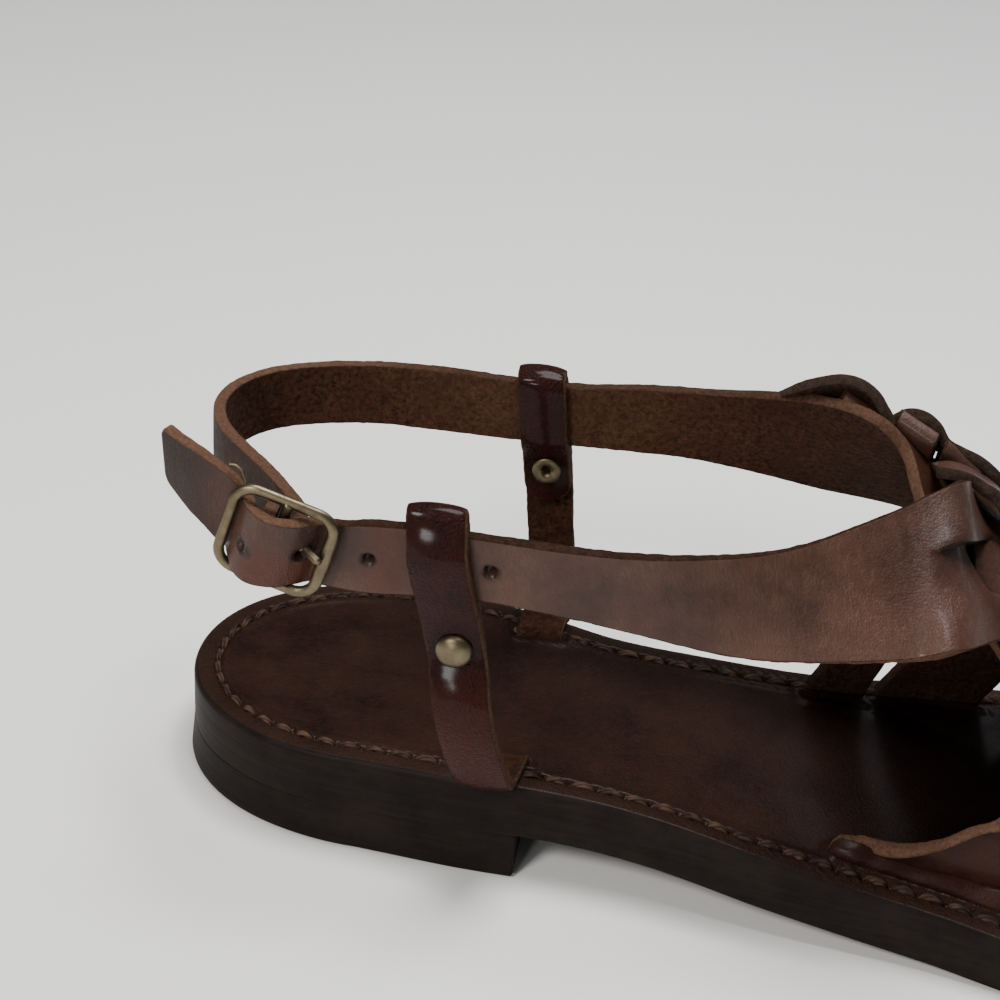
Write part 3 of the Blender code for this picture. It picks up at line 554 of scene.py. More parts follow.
def makeHeel():
    breast, middle = sole["breast"], Vector((42, 2.9, 0))
    curve = [p.copy() for p in outline if p.x < breast - 0.4]
    curve.sort(key=lambda p: math.atan2(p.y - middle.y, 60 - p.x))
    first, last = [Vector((breast, centreLine(breast) + half, 0))
                   for half in (-halfWidth(breast), halfWidth(breast))]
    breastLine = [last.lerp(first, k / 60) for k in range(1, 60)]
    line, length = evenLoop([first] + curve + [last] + breastLine, 420)
    # how far inside the edge, and share of the height
    rings = [(60, 1.0), (30, 1.0), (10, 1.0), (0.05, 1.0), (0.0, 0.995), (0.0, 0.95), (0, 0.8), (0, 0.6),
             (0, 0.4), (0, 0.22), (0, 0.1), (0.15, 0.04), (0.5, 0.008), (1.0, 0.0), (4, 0), (12, 0),
             (30, 0), (60, 0)]

    def place(i, j):
        distance, share = rings[j]
        point = line[i % len(line)]
        arm = point - middle
        spot = middle + arm * max(0.0, 1 - distance / arm.length)
        z = (tread(spot.x) - 0.02) * share
        flare = sole["flare"] * (1 - share) if point.x < breast - 0.3 else 0
        spot += arm.normalized() * (flare + sideWave(point, distance, z))
        return (spot.x, spot.y, z), (length * i / len(line), z), distance, 0, 0.0

    bm = gridPiece(len(line), len(rings) - 1, place)
    finishPiece(bm, "heel", [soleEdge], "sole_leather", "heel")


stitching = {
    # each stitch fills this share of its step, from this start; radii in shares of the thread's swelling
    "start": 0.06, "run": 0.88, "strands": 3, "strand": 0.46, "aside": 0.48, "high": 0.3, "twist": 0.4,
    # under the insole's top at the holes, and how far it rises between them
    "deep": 1.2, "rise": 1.3,
    # swelling everywhere, then more at the outer and the inner waist, and its unevenness
    "swell": 0.88, "outer": 0.42, "inner": 0.1, "uneven": 0.06,
}


def makeStitches():
    # lock stitches in the channel: three twisted strands each, dipping into their holes
    bm = bmesh.new()
    s, seam, full = stitching, sole["seam"], 2 * math.pi
    for n in range(stitchCount):
        first = inward(round((n + 0.5) * len(outline) / stitchCount), seam)
        waist = s["outer"] if first.y < centreLine(first.x) else s["inner"]
        swell = s["swell"] + waist * hump(first.x, 145, 42) + rng.uniform(-s["uneven"], s["uneven"])
        for strand in range(s["strands"]):
            made = bmesh.ops.create_grid(bm, x_segments=9, y_segments=6, size=0.5)
            for vert in made["verts"]:
                t = vert.co.x + 0.5
                turn = (vert.co.y + 0.5) * full
                spot = stitchStep * (n + s["start"] + s["run"] * t) / outlineLength * len(outline)
                k = int(spot) % len(outline)
                base = inward(k, seam).lerp(inward(k + 1, seam), spot - int(spot))
                arch = max(0.0, math.sin(math.pi * t))
                twist = full * (s["twist"] * t + strand / s["strands"]) + n * 0.7
                radius = swell * s["strand"] * (0.6 + 0.4 * arch)
                out = outlineOut[k] * (swell * s["aside"] * math.cos(twist) + radius * math.cos(turn))
                z = insoleTop(base.x) - s["deep"] + s["rise"] * arch ** 0.6
                z += swell * s["high"] * math.sin(twist) + radius * math.sin(turn)
                vert.co = toWorld((base.x + out.x, base.y + out.y, z))
    bmesh.ops.remove_doubles(bm, verts=bm.verts, dist=1e-7)
    rim = [edge for edge in bm.edges if edge.is_boundary]
    bmesh.ops.holes_fill(bm, edges=rim, sides=0)
    bmesh.ops.recalc_face_normals(bm, faces=bm.faces)
    for face in bm.faces:
        face.smooth = True
    finishPiece(bm, "insole_stitching", [thread], "insole_leather")


makeInsole()
makeOutsole()
makeHeel()
makeStitches()
print("sole made")


# straps
# foot form under the straps: x, ridge y, ridge z, outer bulge, inner bulge
form = [(100, 5.0, 112.0, 41, 27), (131, 5.5, 98.5, 42, 29), (150, 6.0, 91.5, 42, 31),
        (170, 6.0, 80.0, 44, 33), (190, 6.5, 67.5, 46, 35), (210, 7.0, 57.0, 47, 35),
        (230, 7.5, 48.0, 45, 34), (250, 8.5, 40.5, 40, 30), (270, 9.5, 33.0, 32, 24)]
buckle = {"length": 20.0, "height": 18.6, "rise": 0.6, "corner": 4.0, "wire": 1.1, "bar": 1.05,
          "tilt": math.radians(16), "centre": (28.0, -38.9, 78.4), "prong": 0.95, "prongRise": 1.3,
          # widening of the front bar, flatness of the frame, thickness of the wire end
          "wider": 0.28, "flat": 0.86, "thin": 0.24,
          # the prong between its bend and its tip: towards the back, outwards
          "prongDip": [(-2.0, 1.7), (-3.8, 0.1), (-5.6, -0.4), (-7.4, 1.0)],
          # its wire end: towards the back, outwards, up
          "wireEnd": [(13.3, -3.0, 11.0), (12.2, -3.0, 11.3), (10.9, -2.8, 11.0), (9.9, -2.4, 10.2),
                      (9.1, -2.0, 9.2), (8.8, -1.4, 7.6)]}


foot = {
    # the form lies this deep under the table's surface, and lifts are measured from it outwards
    "depth": 8.8,
    # roundness from side to side and of the ridge; the sides draw in from this share of 90 degrees
    "sides": 0.85, "ridge": 0.9, "drawnIn": 0.6,
    # how far inside the sole's edge the straps go down
    "outerSlit": 8.6, "innerSlit": 6.8,
}


def formPoint(x, angle, lift):
    def raw(px, degrees):
        ridgeY, ridgeZ = through(form, 1, px), through(form, 2, px)
        side, column, inset = (-1, 3, foot["outerSlit"]) if degrees < 0 else (1, 4, foot["innerSlit"])
        share = min(1.0, abs(degrees) / 90)
        turn = share * math.pi / 2
        bulge = through(form, column, px)
        slit = halfWidth(px) - inset + side * (centreLine(px) - ridgeY)
        reach = bulge * math.sin(turn) ** foot["sides"]
        reach += (slit - bulge) * smoothStep(foot["drawnIn"], 1.0, share)
        base = insoleTop(px)
        high = (ridgeZ - base) * max(0.0, math.cos(turn)) ** foot["ridge"]
        return Vector((px, ridgeY + side * reach, base + high))

    here = raw(x, angle)
    if abs(angle) >= 89:
        return here + Vector((0, lift if angle > 0 else -lift, 0))
    along = raw(x + 1, angle) - raw(x - 1, angle)
    around = raw(x, min(89.5, angle + 3)) - raw(x, max(-89.5, angle - 3))
    return here + along.cross(around).normalized() * (lift - foot["depth"])


def bucklePoint(along, out, up):
    x, y, z = buckle["centre"]
    c, s = math.cos(buckle["tilt"]), math.sin(buckle["tilt"])
    return Vector((x - along * c + up * s, y - out, z + along * s + up * c))


def flatRow(upper, lower, across=4):
    return [Vector(upper).lerp(Vector(lower), k / across) for k in range(across + 1)]


def flatRows(table):
    return [flatRow(row[:3], row[3:]) for row in table]


def buckleRows(table):
    return [flatRow(bucklePoint(along, out, up + half), bucklePoint(along, out, up - half))
            for along, out, up, half in table]


def formRows(table, across=4):
    rows = []
    for xRear, aRear, xFront, aFront, lift, *more in table:
        rise = more[0] if more else 0.0
        shares = [k / across for k in range(across + 1)]
        rows.append([formPoint(xRear + (xFront - xRear) * t, aRear + (aFront - aRear) * t,
                               lift + rise * (1 - t) ** 3) for t in shares])
    return rows


def rootRow(points):
    # the end that goes through its slit, down to a little above the insole's underside
    return [Vector((p.x, p.y, insoleUnder(p.x) + 0.7)) for p in points]


def curvePoint(a, b, c, d, t):
    return 0.5 * (2 * b + (c - a) * t + (2 * a - 5 * b + 4 * c - d) * t * t
                  + (3 * b - a - 3 * c + d) * t ** 3)


def denseLine(points, count):
    result = []
    last = len(points) - 1
    for n in range(count + 1):
        place = last * n / count
        k = min(int(place), last - 1)
        before, after = points[max(k - 1, 0)], points[min(k + 2, last)]
        result.append(curvePoint(before, points[k], points[k + 1], after, place - k))
    return result


def denseRows(rows, step, across):
    rows = [denseLine(row, across) for row in rows]
    middle = across // 2
    result = []
    for k in range(len(rows) - 1):
        before, after = rows[max(k - 1, 0)], rows[min(k + 2, len(rows) - 1)]
        count = max(2, math.ceil((rows[k + 1][middle] - rows[k][middle]).length / step))
        for n in range(count):
            result.append([curvePoint(a, b, c, d, n / count)
                           for a, b, c, d in zip(before, rows[k], rows[k + 1], after)])
    result.append(rows[-1])
    return result


def roundEnd(order, radius):
    # draw in the corners of the end that the rows start from, as cut with a round knife
    run, half = 0.0, len(order[0]) // 2
    for row, after in zip(order, order[1:]):
        if run >= radius:
            break
        inset = radius - math.sqrt(max(0.0, radius ** 2 - (radius - run) ** 2))
        share = max(0.12, 1 - 2 * min(inset, radius * 0.92) / (row[-1] - row[0]).length)
        middle = row[half].copy()
        run += (after[half] - middle).length
        row[:] = [middle.lerp(point, share) for point in row]


# what a strap has unless its own settings say otherwise
plainCut = {"rounding": 0.42, "roundStart": 0, "roundEnd": 0, "holes": [], "waves": None,
            "relief": None, "marksAndShading": None, "spacing": None}
# unevenness in mm: the edges' long and short waves, the flesh side and the grain side
ragged = {"long": 0.16, "short": 0.1, "flesh": 0.09, "grain": 0.035}
faceZones = ("grain", "flesh", "edge")


def cutStrap(rows, settings):
    # a strap of cut leather round its middle surface: grain face, flesh face and rough cut edges;
    # u runs along it, s across it from its upper edge, in mm
    cut = {**plainCut, **settings}
    thick, rounding, faces, seed = cut["thick"], cut["rounding"], cut["across"], cut["seed"]
    rows = denseRows(rows, cut["step"], faces)
    roundEnd(rows, cut["roundStart"])
    roundEnd(rows[::-1], cut["roundEnd"])
    last = len(rows) - 1
    alongs = [0.0]
    for a, b in zip(rows, rows[1:]):
        alongs.append(alongs[-1] + (b[faces // 2] - a[faces // 2]).length)
    shares = [k / faces for k in range(faces + 1)]
    levels = [math.cos(k * math.pi / 6) for k in range(1, 6)]
    loop = [(share, 1, "grain") for share in shares] + [(1.0, level, "edge") for level in levels]
    loop += [(1 - share, -1, "flesh") for share in shares] + [(0.0, -level, "edge") for level in levels]

    def place(i, j):
        share, level, face = loop[j % len(loop)]
        row, before, after = rows[i], rows[max(i - 1, 0)], rows[min(i + 1, last)]
        middle = row[faces // 2].x
        width = (row[-1] - row[0]).length
        inset = rounding / width
        aside = 0.0
        if face == "edge":
            outwards = 1 if share == 1 else -1
            at = share - inset * outwards
            aside = rounding * math.sqrt(max(0.0, 1 - level * level)) * outwards
            height = (thick / 2 - rounding) * max(-1, min(1, level * 1.8)) + rounding * level
        else:
            at = inset + (1 - 2 * inset) * (cut["spacing"](middle, share) if cut["spacing"] else share)
            height = thick / 2 * level
        spot = at * faces
        k = min(int(spot), faces - 1)
        point = row[k].lerp(row[k + 1], spot - k)
        ahead = after[k].lerp(after[k + 1], spot - k) - before[k].lerp(before[k + 1], spot - k)
        side = (row[min(k + 1, faces)] - row[max(k - 1, 0)]).normalized()
        normal = ahead.cross(side).normalized() * cut["grain"]
        u, s = alongs[i], at * width + aside
        if cut["waves"]:
            high, size, start = cut["waves"]
            height += high * speckle((u, s, 0), size, start)
        if cut["relief"]:
            height += cut["relief"](s, width, point.x, middle)
        if face == "edge":
            rough = ragged["long"] * speckle((u, s, level * 2), 2.2, seed)
            aside += (rough + ragged["short"] * speckle((u, s, level), 0.9, 4)) * outwards
        elif face == "flesh":
            height += ragged["flesh"] * speckle((u, s, 0), 1.9, seed + 3)
        else:
            height += ragged["grain"] * speckle((u, s, 0), 3.5, seed + 5)
        marksAndShading = cut["marksAndShading"](s, width, point, face) if cut["marksAndShading"] else 0.0
        moved = point + side * aside + normal * height
        return moved, (u, s), min(s, width - s), faceZones.index(face), marksAndShading

    bm = gridPiece(last, len(loop), place, 2)
    for hole in cut["holes"]:
        punch(bm, rows, *hole)
    return bm


def finishStrap(name, rows, settings, skins, node="upper"):
    finishPiece(cutStrap(rows, settings), name, skins, "strap_leather", node)


outerStrap = {
    # waves: height and size in mm, and where in the noise they start
    "thick": 2.6, "grain": -1, "across": 40, "step": 0.9, "seed": 2.0, "roundStart": 1.3,
    "waves": (0.16, 13.0, 6.1),
    "freeEnd": [(4.8, -32.6, 97.4, 5.6, -32.6, 85.8), (8.6, -34.0, 95.8, 9.0, -34.0, 82.6),
                (13.8, -35.4, 93.8, 12.4, -35.4, 79.8)],
    # in the buckle's axes: towards the back, outwards, up, half width
    "hump": [(11.4, -3.4, 1.6, 7.0), (8.6, -3.0, 0.5, 6.3), (6.8, 0.0, 0.3, 6.4), (4.4, 3.0, 0, 7.3),
             (1.8, 3.9, 0, 7.4), (-1.8, 2.5, 0, 7.4), (-4.6, -0.3, 0, 7.4), (-7.0, -2.7, 0, 7.2),
             (-8.8, -3.2, 0.4, 7.0), (-11.4, -3.3, 0.9, 7.4)],
    # upper edge x, y, z, then lower edge x, y, z
    "quarter": [(46, -36.0, 84.4, 46, -36.0, 69.0), (57, -35.8, 84.9, 58, -35.8, 70.2),
                (68, -35.5, 84.5, 68, -35.5, 70.6), (83, -35.4, 84.3, 82, -35.6, 69.9),
                (96, -34.8, 84.5, 98, -36.2, 68.6), (108, -33.0, 85.1, 111, -37.0, 67.5),
                (119, -30.6, 86.2, 121, -37.6, 67.4), (128, -27.4, 88.0, 131, -38.0, 68.6),
                (137, -22.8, 90.8, 141.5, -38.2, 70.6), (146, -16.0, 92.6, 150.5, -37.8, 72.4),
                (156, -6.4, 94.2, 158.5, -36.3, 74.7)],
    # over the foot form: rear edge x and angle, front edge x and angle, lift, rear edge's further lift
    "crossing": [(161, 8, 171, -33, 4.8, 2.6), (165, 13, 181, -27, 4.4, 3.6),
                 (169.5, 19, 189, -10, 4.2, 3.4), (174.5, 40, 196, 12, 4.3, 1.5), (180, 62, 201, 34, 4.4),
                 (186, 77, 205, 56, 4.8), (191, 85, 207, 78, 5.8), (193, 90, 208, 90, 1.6)],
    # punched holes: x, radius, how far above the strap's middle line
    "holes": [(23.4, 1.2, -0.9), (32.4, 1.5, 0.1), (46.0, 1.4, 0), (58.0, 1.4, 0), (69.6, 1.5, 0)],
    # x, share of the width from the upper edge, length across, width along, depth
    "creases": [(88, 0.3, 6, 1.1, 0.10), (93, 0.35, 7, 1.2, 0.12), (99, 0.3, 7, 1.3, 0.10),
                (104, 0.4, 8, 1.4, 0.10), (111, 0.3, 7, 1.2, 0.08), (143, 0.16, 4, 0.9, 0.16),
                (146, 0.14, 4, 0.8, 0.18), (149, 0.2, 4.5, 0.9, 0.16), (152, 0.26, 5, 1.0, 0.14)],
}
innerStrap = {
    "thick": 2.6, "grain": 1, "across": 20, "step": 0.8, "seed": 9.0, "waves": (0.2, 15.0, 2.6),
    "barFold": [(2.9, -5.2, 0, 6.4), (2.75, 0.4, 0, 6.4), (1.95, 2.0, 0, 6.4), (0, 2.8, 0, 6.4),
                (-1.95, 2.0, 0, 6.4), (-2.75, 0.4, 0, 6.4), (-2.3, -4.6, 0, 6.8)],
    # x, y, upper z, lower z
    "heel": [(26.3, -27.8, 85.4, 71.0), (21.0, -21.0, 85.0, 70.5), (15.0, -13.2, 83.9, 69.4),
             (9.0, -5.0, 82.6, 68.1), (4.8, 3.5, 81.6, 67.1), (3.2, 12.0, 80.9, 66.3),
             (4.6, 20.5, 80.4, 65.9), (9.8, 27.6, 80.4, 65.9), (19, 31.4, 81.3, 66.8),
             (33, 32.4, 83.0, 68.5), (47, 32.4, 83.7, 68.9), (62, 32.3, 83.7, 69.2),
             (77, 32.3, 84.1, 69.7)],
    "quarter": [(91, 32.2, 85.9, 90, 32.8, 70.0), (106, 30.2, 88.0, 104, 34.0, 69.8),
                (119, 25.0, 91.8, 120, 35.6, 67.6), (131, 18.0, 95.4, 134, 36.4, 65.6),
                (139.5, 11.8, 96.2, 148, 36.2, 64.6)],
    "crossing": [(147, 5, 161, 44, 7.3), (153, -8, 170, 27, 3.3), (161, -22, 179, 6, 1.5),
                 (171, -36, 188, -14, 1.5), (182, -48, 199, -32, 0.9), (192, -60, 209, -45, 0.6)],
}


punching = {
    # it cuts what lies this near the hole's middle, between these depths, and about this flat
    "reach": 6, "faces": (0.6, 2.6), "flat": 0.6,
    # both rims sink in, and the flesh side closes up to this share of the radius and leans upwards
    "sunk": 0.12, "closed": 0.5, "lean": 0.9,
}


def punch(bm, rows, x, radius, above):
    # a round hole through both faces near the given x, a little closed up on one side
    half = len(rows[0]) // 2
    k = min(range(len(rows)), key=lambda n: abs(rows[n][half].x - x))
    ahead = (rows[k + 1][half] - rows[k - 1][half]).normalized()
    side = (rows[k][-1] - rows[k][0]).normalized()
    axis = ahead.cross(side).normalized()
    centre = toWorld(rows[k][half]) - side * above * mm
    shallow, deep = punching["faces"]
    loops = []

    def parts(spot):
        offset = (spot - centre) / mm
        depth = offset.dot(axis)
        return offset, depth, offset - axis * depth

    for sign in (1, -1):
        inside = []
        for face in bm.faces:
            offset, depth, flat = parts(face.calc_center_median())
            if offset.length < punching["reach"] and shallow < depth * sign < deep:
                if flat.length < radius and abs(face.normal.dot(axis)) > punching["flat"]:
                    inside.append(face)
        rim = {edge for face in inside for edge in face.edges
               if any(f not in inside for f in edge.link_faces)}
        verts = {vert for edge in rim for vert in edge.verts}
        bmesh.ops.delete(bm, geom=inside, context="FACES")
        for vert in verts:
            _, depth, flat = parts(vert.co)
            spot = axis * (depth - punching["sunk"] * sign) + flat.normalized() * radius
            if sign == 1:
                spot -= flat.normalized() * radius * (1 - punching["closed"]) + side * punching["lean"]
            vert.co = centre + spot * mm
        loops += [edge for edge in rim if edge.is_valid]
    made = bmesh.ops.bridge_loops(bm, edges=loops)
    for face in made["faces"]:
        face.material_index = 0
        face.smooth = True


def slitShare(middle):
    # share of the outer strap's width above the lengthwise slit
    return 0.36 + 0.14 * smoothStep(153, 176, middle)


def slitSpacing(middle, share):
    # two rows of points run close together along the slit
    if share <= 0.41:
        return share * slitShare(middle) / 0.4
    return slitShare(middle) + 0.012 + (share - 0.425) * (0.988 - slitShare(middle)) / 0.575


def makeOuterStrap():
    rows = flatRows(outerStrap["freeEnd"]) + buckleRows(outerStrap["hump"])
    rows += flatRows(outerStrap["quarter"]) + formRows(outerStrap["crossing"])
    rows.append(rootRow(rows[-1]))

    def relief(s, width, x, middle):
        height = 0.0
        for cx, share, across, wide, depth in outerStrap["creases"]:
            lean = (s - share * width) * 0.35
            raised = 0.6 * hump(x - lean, cx + wide * 1.4, wide * 0.7)
            height += depth * hump(s, share * width, across) * (raised - hump(x - lean, cx, wide))
        # a lengthwise slit parts the upper tongue from the lower band, which dips under the thong
        slit, share = slitShare(middle), s / width
        opened = smoothStep(151, 157, middle) * (1 - smoothStep(196, 204, middle))
        below = smoothStep(slit + 0.002, slit + 0.01, share)
        height += opened * (1 - below) * 1.1 * smoothStep(0.02, slit, share)
        height -= opened * below * 2.2 * (1 - smoothStep(slit + 0.05, 0.9, share))
        # the cut beside the thong that comes up through the band
        lip = 160.2 + 16 * (share - 0.42)
        cut = smoothStep(0.4, 0.46, share) * (1 - smoothStep(0.68, 0.76, share))
        cut *= smoothStep(lip - 0.5, lip + 0.9, x) * (1 - smoothStep(lip + 3, lip + 6, x))
        return height - 2.2 * cut

    def marksAndShading(s, width, point, face):
        # pale where an edge is freshly cut; dark at the tip and by the buckle; painted shade along the
        # slit and in the holes
        x = point.x
        if face == "edge":
            return 1 - smoothStep(30, 44, x) if s < width / 2 else 0.25 + 0.35 * smoothStep(92, 120, x)
        if face == "flesh":
            return 0.0
        dark = 0.85 * (1 - smoothStep(10, 20, x)) + 0.3 * hump(x, 41, 7)
        red = 0.6 * hump(x, 31, 8) * smoothStep(0.2, 0.7, s / width) + 0.4 * hump(x, 48, 6)
        red += 0.12 * hump(x, 150, 22) * hump(s / width, 0.7, 0.35)
        # painted shade on the lowered side of the slit, under the tongue's lip
        gap = (s / width - slitShare(x + (s / width - 0.5) * -4)) * width
        dark = max(dark, smoothStep(151, 155, x) * hump(gap, 1.0, 1.1))
        # painted shade in and round the punched holes
        for hx, radius, above in outerStrap["holes"]:
            dark = max(dark, 0.9 * hump(math.hypot(x - hx, s - width / 2 + above), radius * 0.8, 0.7))
        return min(1.0, dark) if dark > 0.3 else dark - red

    bm = cutStrap(rows, {**outerStrap, "relief": relief, "marksAndShading": marksAndShading, "spacing": slitSpacing})
    for edge in bm.edges:
        # the slit and the cut keep sharp lips
        if edge.is_manifold and edge.calc_face_angle() > 0.85 and edge.verts[0].co.x > 0.105:
            edge.smooth = False
    finishPiece(bm, "outer_strap", strapSkins, "strap_leather", "upper")


def makeInnerStrap():
    rows = buckleRows(innerStrap["barFold"])
    rows += flatRows((x, y, top, x, y, low) for x, y, top, low in innerStrap["heel"])
    rows += flatRows(innerStrap["quarter"]) + formRows(innerStrap["crossing"])

    def marksAndShading(s, width, point, face):
        x = point.x
        if face == "edge":
            top = 1.0 if s < width / 2 else 0.3
            return top * (0.25 + 0.6 * (1 - smoothStep(20, 50, x)) + 0.5 * smoothStep(120, 150, x))
        return 0.35 * hump(x, 70, 40) if face == "flesh" else 0.6 * (1 - smoothStep(6, 30, x))

    finishStrap("inner_strap", rows, {**innerStrap, "marksAndShading": marksAndShading}, heelSkins)


# thongs woven over the instep: arcs as x, y, z, tilt, then x, angle, lift over the form
thongs = {
    "width": 9.0, "thick": 2.4,
    "spineArcs": [(115, 31.2, 81.6, 70), (119.6, 27.6, 87.4, 64), (123.5, 24.8, 91.9, 56),
                  (127.1, 23.6, 94.6, 51), (131.8, 22.4, 97.0, 47), (135.6, 21.0, 97.6, 44),
                  (139.1, 20.2, 96.0, 42), (141.6, 19.3, 93.2, 40), (143.4, 18.9, 91.8, 38),
                  (146.3, 18.5, 94.0, 37), (149.5, 18.1, 94.1, 36), (152.3, 17.6, 92.4, 35),
                  (154.6, 17.2, 89.4, 34), (157.9, 16.3, 88.4, 32), (162.0, 15.8, 87.1, 31),
                  (166.4, 15.4, 84.0, 30)],
    "spine": [(174, 15, 9.6), (182, 13, 8.4), (190, 11, 7.2), (199, 9, 6.1), (208, 7, 7.1), (220, 6, 7.2),
              (230, 4, 6.8), (238, 2, 5.6), (248, 0, 5.6)],
    "toe": [(258, 34.6), (265, 28.0), (268.4, 21.0)],
    "secondArcs": [(152.6, 7.0, 88.8, 24), (155.2, 4.8, 90.4, 18), (158.4, 4.0, 90.4, 18),
                   (161.6, 3.8, 89.0, 17), (166.0, 3.6, 86.2, 16)],
    "second": [(173, -5, 8.2), (182, -8, 7.4), (191, -10, 6.1), (201, -11, 6.6), (212, -12, 7.2),
               (222, -12, 6.8), (231, -12, 3.6)],
    "cross": [(165.2, 4, 3.4), (165.6, -1, 4.4), (166.0, -6, 5.2), (166.8, -12, 5.4), (168.0, -18, 4.6),
              (169.0, -23, 3.2), (169.8, -28, 1.0)],
    # bridges of the inner strap under the arcs: rear x, front x, rear y, front y, rear z, front z
    "bridges": [(133.0, 141.0, 18.6, 16.0, 96.6, 93.0), (144.4, 152.4, 13.6, 10.8, 96.3, 93.2),
                (154.2, 162.2, 12.4, 11.4, 91.6, 86.6)],
    # their way in y and z from there, under the arc and down on both sides
    "bridgePath": [(4.6, -7.4), (1.0, -3.0), (0.2, 0.0), (2.8, -0.7), (6.0, -4.6), (9.6, -9.4),
                   (10.6, -12.6)],
}


def thongRows(arcs, overForm):
    half = thongs["width"] / 2
    rows = []
    for x, y, z, tilt in arcs:
        aside = Vector((0, math.cos(math.radians(tilt)), -math.sin(math.radians(tilt)))) * half
        rows.append([Vector((x, y, z)) + aside * side for side in (-1, 0, 1)])
    for x, angle, lift in overForm:
        middle = formPoint(x, angle, lift)
        aside = (formPoint(x, angle + 4, lift) - formPoint(x, angle - 4, lift)).normalized() * half
        rows.append([middle - aside, middle, middle + aside])
    return rows


def makeThongs():
    cut = {"thick": thongs["thick"], "grain": 1, "across": 12, "step": 0.8, "seed": 5.0,
           "marksAndShading": lambda s, width, point, face: 0.1 if face == "edge" else 0.0}
    half = thongs["width"] / 2
    rows = thongRows(thongs["spineArcs"], thongs["spine"])
    for x, z in thongs["toe"]:
        rows.append([Vector((x, through(form, 1, x) + side * half, z)) for side in (-1, 0, 1)])
    toe = x + 0.6
    rows.append([Vector((toe, p.y, insoleTop(toe) + 0.5)) for p in rows[-1]])
    rows.append(rootRow(rows[-1]))
    finishStrap("instep_thong", rows, cut, thongSkins)
    rows = thongRows(thongs["secondArcs"], thongs["second"])
    finishStrap("short_thong", rows, {**cut, "seed": 6.0}, thongSkins)
    # a cross thong comes from under the tongue, over the outer strap's band and down into its slit
    aside = Vector((half, 0, -2.2))
    middles = [formPoint(*spot) for spot in thongs["cross"]]
    rows = [[middle - aside, middle, middle + aside] for middle in middles]
    finishStrap("cross_thong", rows, {**cut, "seed": 4.0}, thongSkins)
    for number, (rear, front, rearY, frontY, rearZ, frontZ) in enumerate(thongs["bridges"], 1):
        rows = [flatRow((rear, rearY + dy, rearZ + dz), (front, frontY + dy, frontZ + dz), 2)
                for dy, dz in thongs["bridgePath"]]
        band = {**cut, "grain": -1, "seed": 7.0 + number}
        finishStrap("cross_band_%d" % number, rows, band, strapSkins)


vamp = {
    "thick": 3.0,
    # low part beside the outer slit: upper x and height over the insole, lower x and height
    "low": [(143.4, 1.0, 143.8, -4.0), (144.4, 2.9, 147.0, -4.0), (147.4, 3.9, 153.0, -4.0),
            (151.6, 4.6, 161.0, -4.0), (157, 6.7, 173.0, -4.0), (163.5, 10.6, 188.0, -4.0),
            (169.5, 15.2, 203.0, -3.0), (173.6, 17.4, 209.0, 5.0)],
    "lean": 0.5, "inset": 3.0,
    "panel": [(177, -70, 213, -58, 4.6), (190, -50, 219, -36, 4.5), (200, -26, 226, -14, 4.5),
              (206, 0, 231, 6, 4.5), (209, 26, 233, 28, 5.2), (211, 52, 232, 52, 7.2),
              (212, 76, 231, 76, 7.3), (212, 90, 230, 90, 1.5)],
    "rear": [(137, 90, 150, 90, 1.5), (145, 79, 158, 76, 7.3), (157, 61, 171, 57, 4.8),
             (171, 39, 184, 35, 1.7), (184, 18, 196, 14, 1.5), (196, -4, 208, -8, 1.5)],
    "front": [(153, 90, 177, 90, 1.5), (162, 78, 186, 76, 7.3), (174, 59, 198, 57, 7.2),
              (187, 38, 210, 36, 5.0), (199, 16, 221, 14, 1.7)],
}


def vampPoint(x, height):
    # point of the vamp at a height over the insole; near its slit the panel leans outwards
    base = insoleTop(x)
    rise = max(0.0, height) / (through(form, 2, x) - base)
    angle = -math.degrees(math.acos(min(1.0, rise ** (1 / foot["ridge"]))))
    depth = 1.5 + 2.7 * smoothStep(5, 22, height)
    point = formPoint(x, angle, depth if angle <= -89 else foot["depth"] - depth)
    lean = vamp["lean"] * (1 - smoothStep(160, 186, x)) * min(max(0.0, height), 7.0)
    return Vector((point.x, point.y + vamp["inset"] - lean, base + height))


def makeVamp():
    rows = []
    for upperX, upperHigh, lowerX, lowerHigh in vamp["low"]:
        rows.append([vampPoint(upperX + (lowerX - upperX) * k / 8,
                               upperHigh + (lowerHigh - upperHigh) * k / 8) for k in range(9)])
    rows += formRows(vamp["panel"], 8)
    rows.append(rootRow(rows[-1]))

    def marksAndShading(s, width, point, face):
        if face == "edge":
            return 0.9 if s < width / 2 else 0.3
        return 0.5 * hump(s, 0, 3) if face == "grain" else 0.0

    finishStrap("vamp_panel", rows, {
        "thick": vamp["thick"] + 0.5, "grain": -1, "across": 44, "step": 0.9, "seed": 12.0,
        "rounding": 1.2, "roundStart": 1.6, "waves": (0.25, 16.0, 1.2), "marksAndShading": marksAndShading}, vampSkins)
    for name in ("rear", "front"):
        rows = formRows(vamp[name], 3)
        finishStrap("inner_vamp_" + name, [rootRow(rows[0])] + rows, {
            "thick": vamp["thick"], "grain": 1, "across": 14, "step": 1.0, "seed": 14.0}, strapSkins)


makeOuterStrap()
makeInnerStrap()
makeThongs()
makeVamp()
print("straps made")


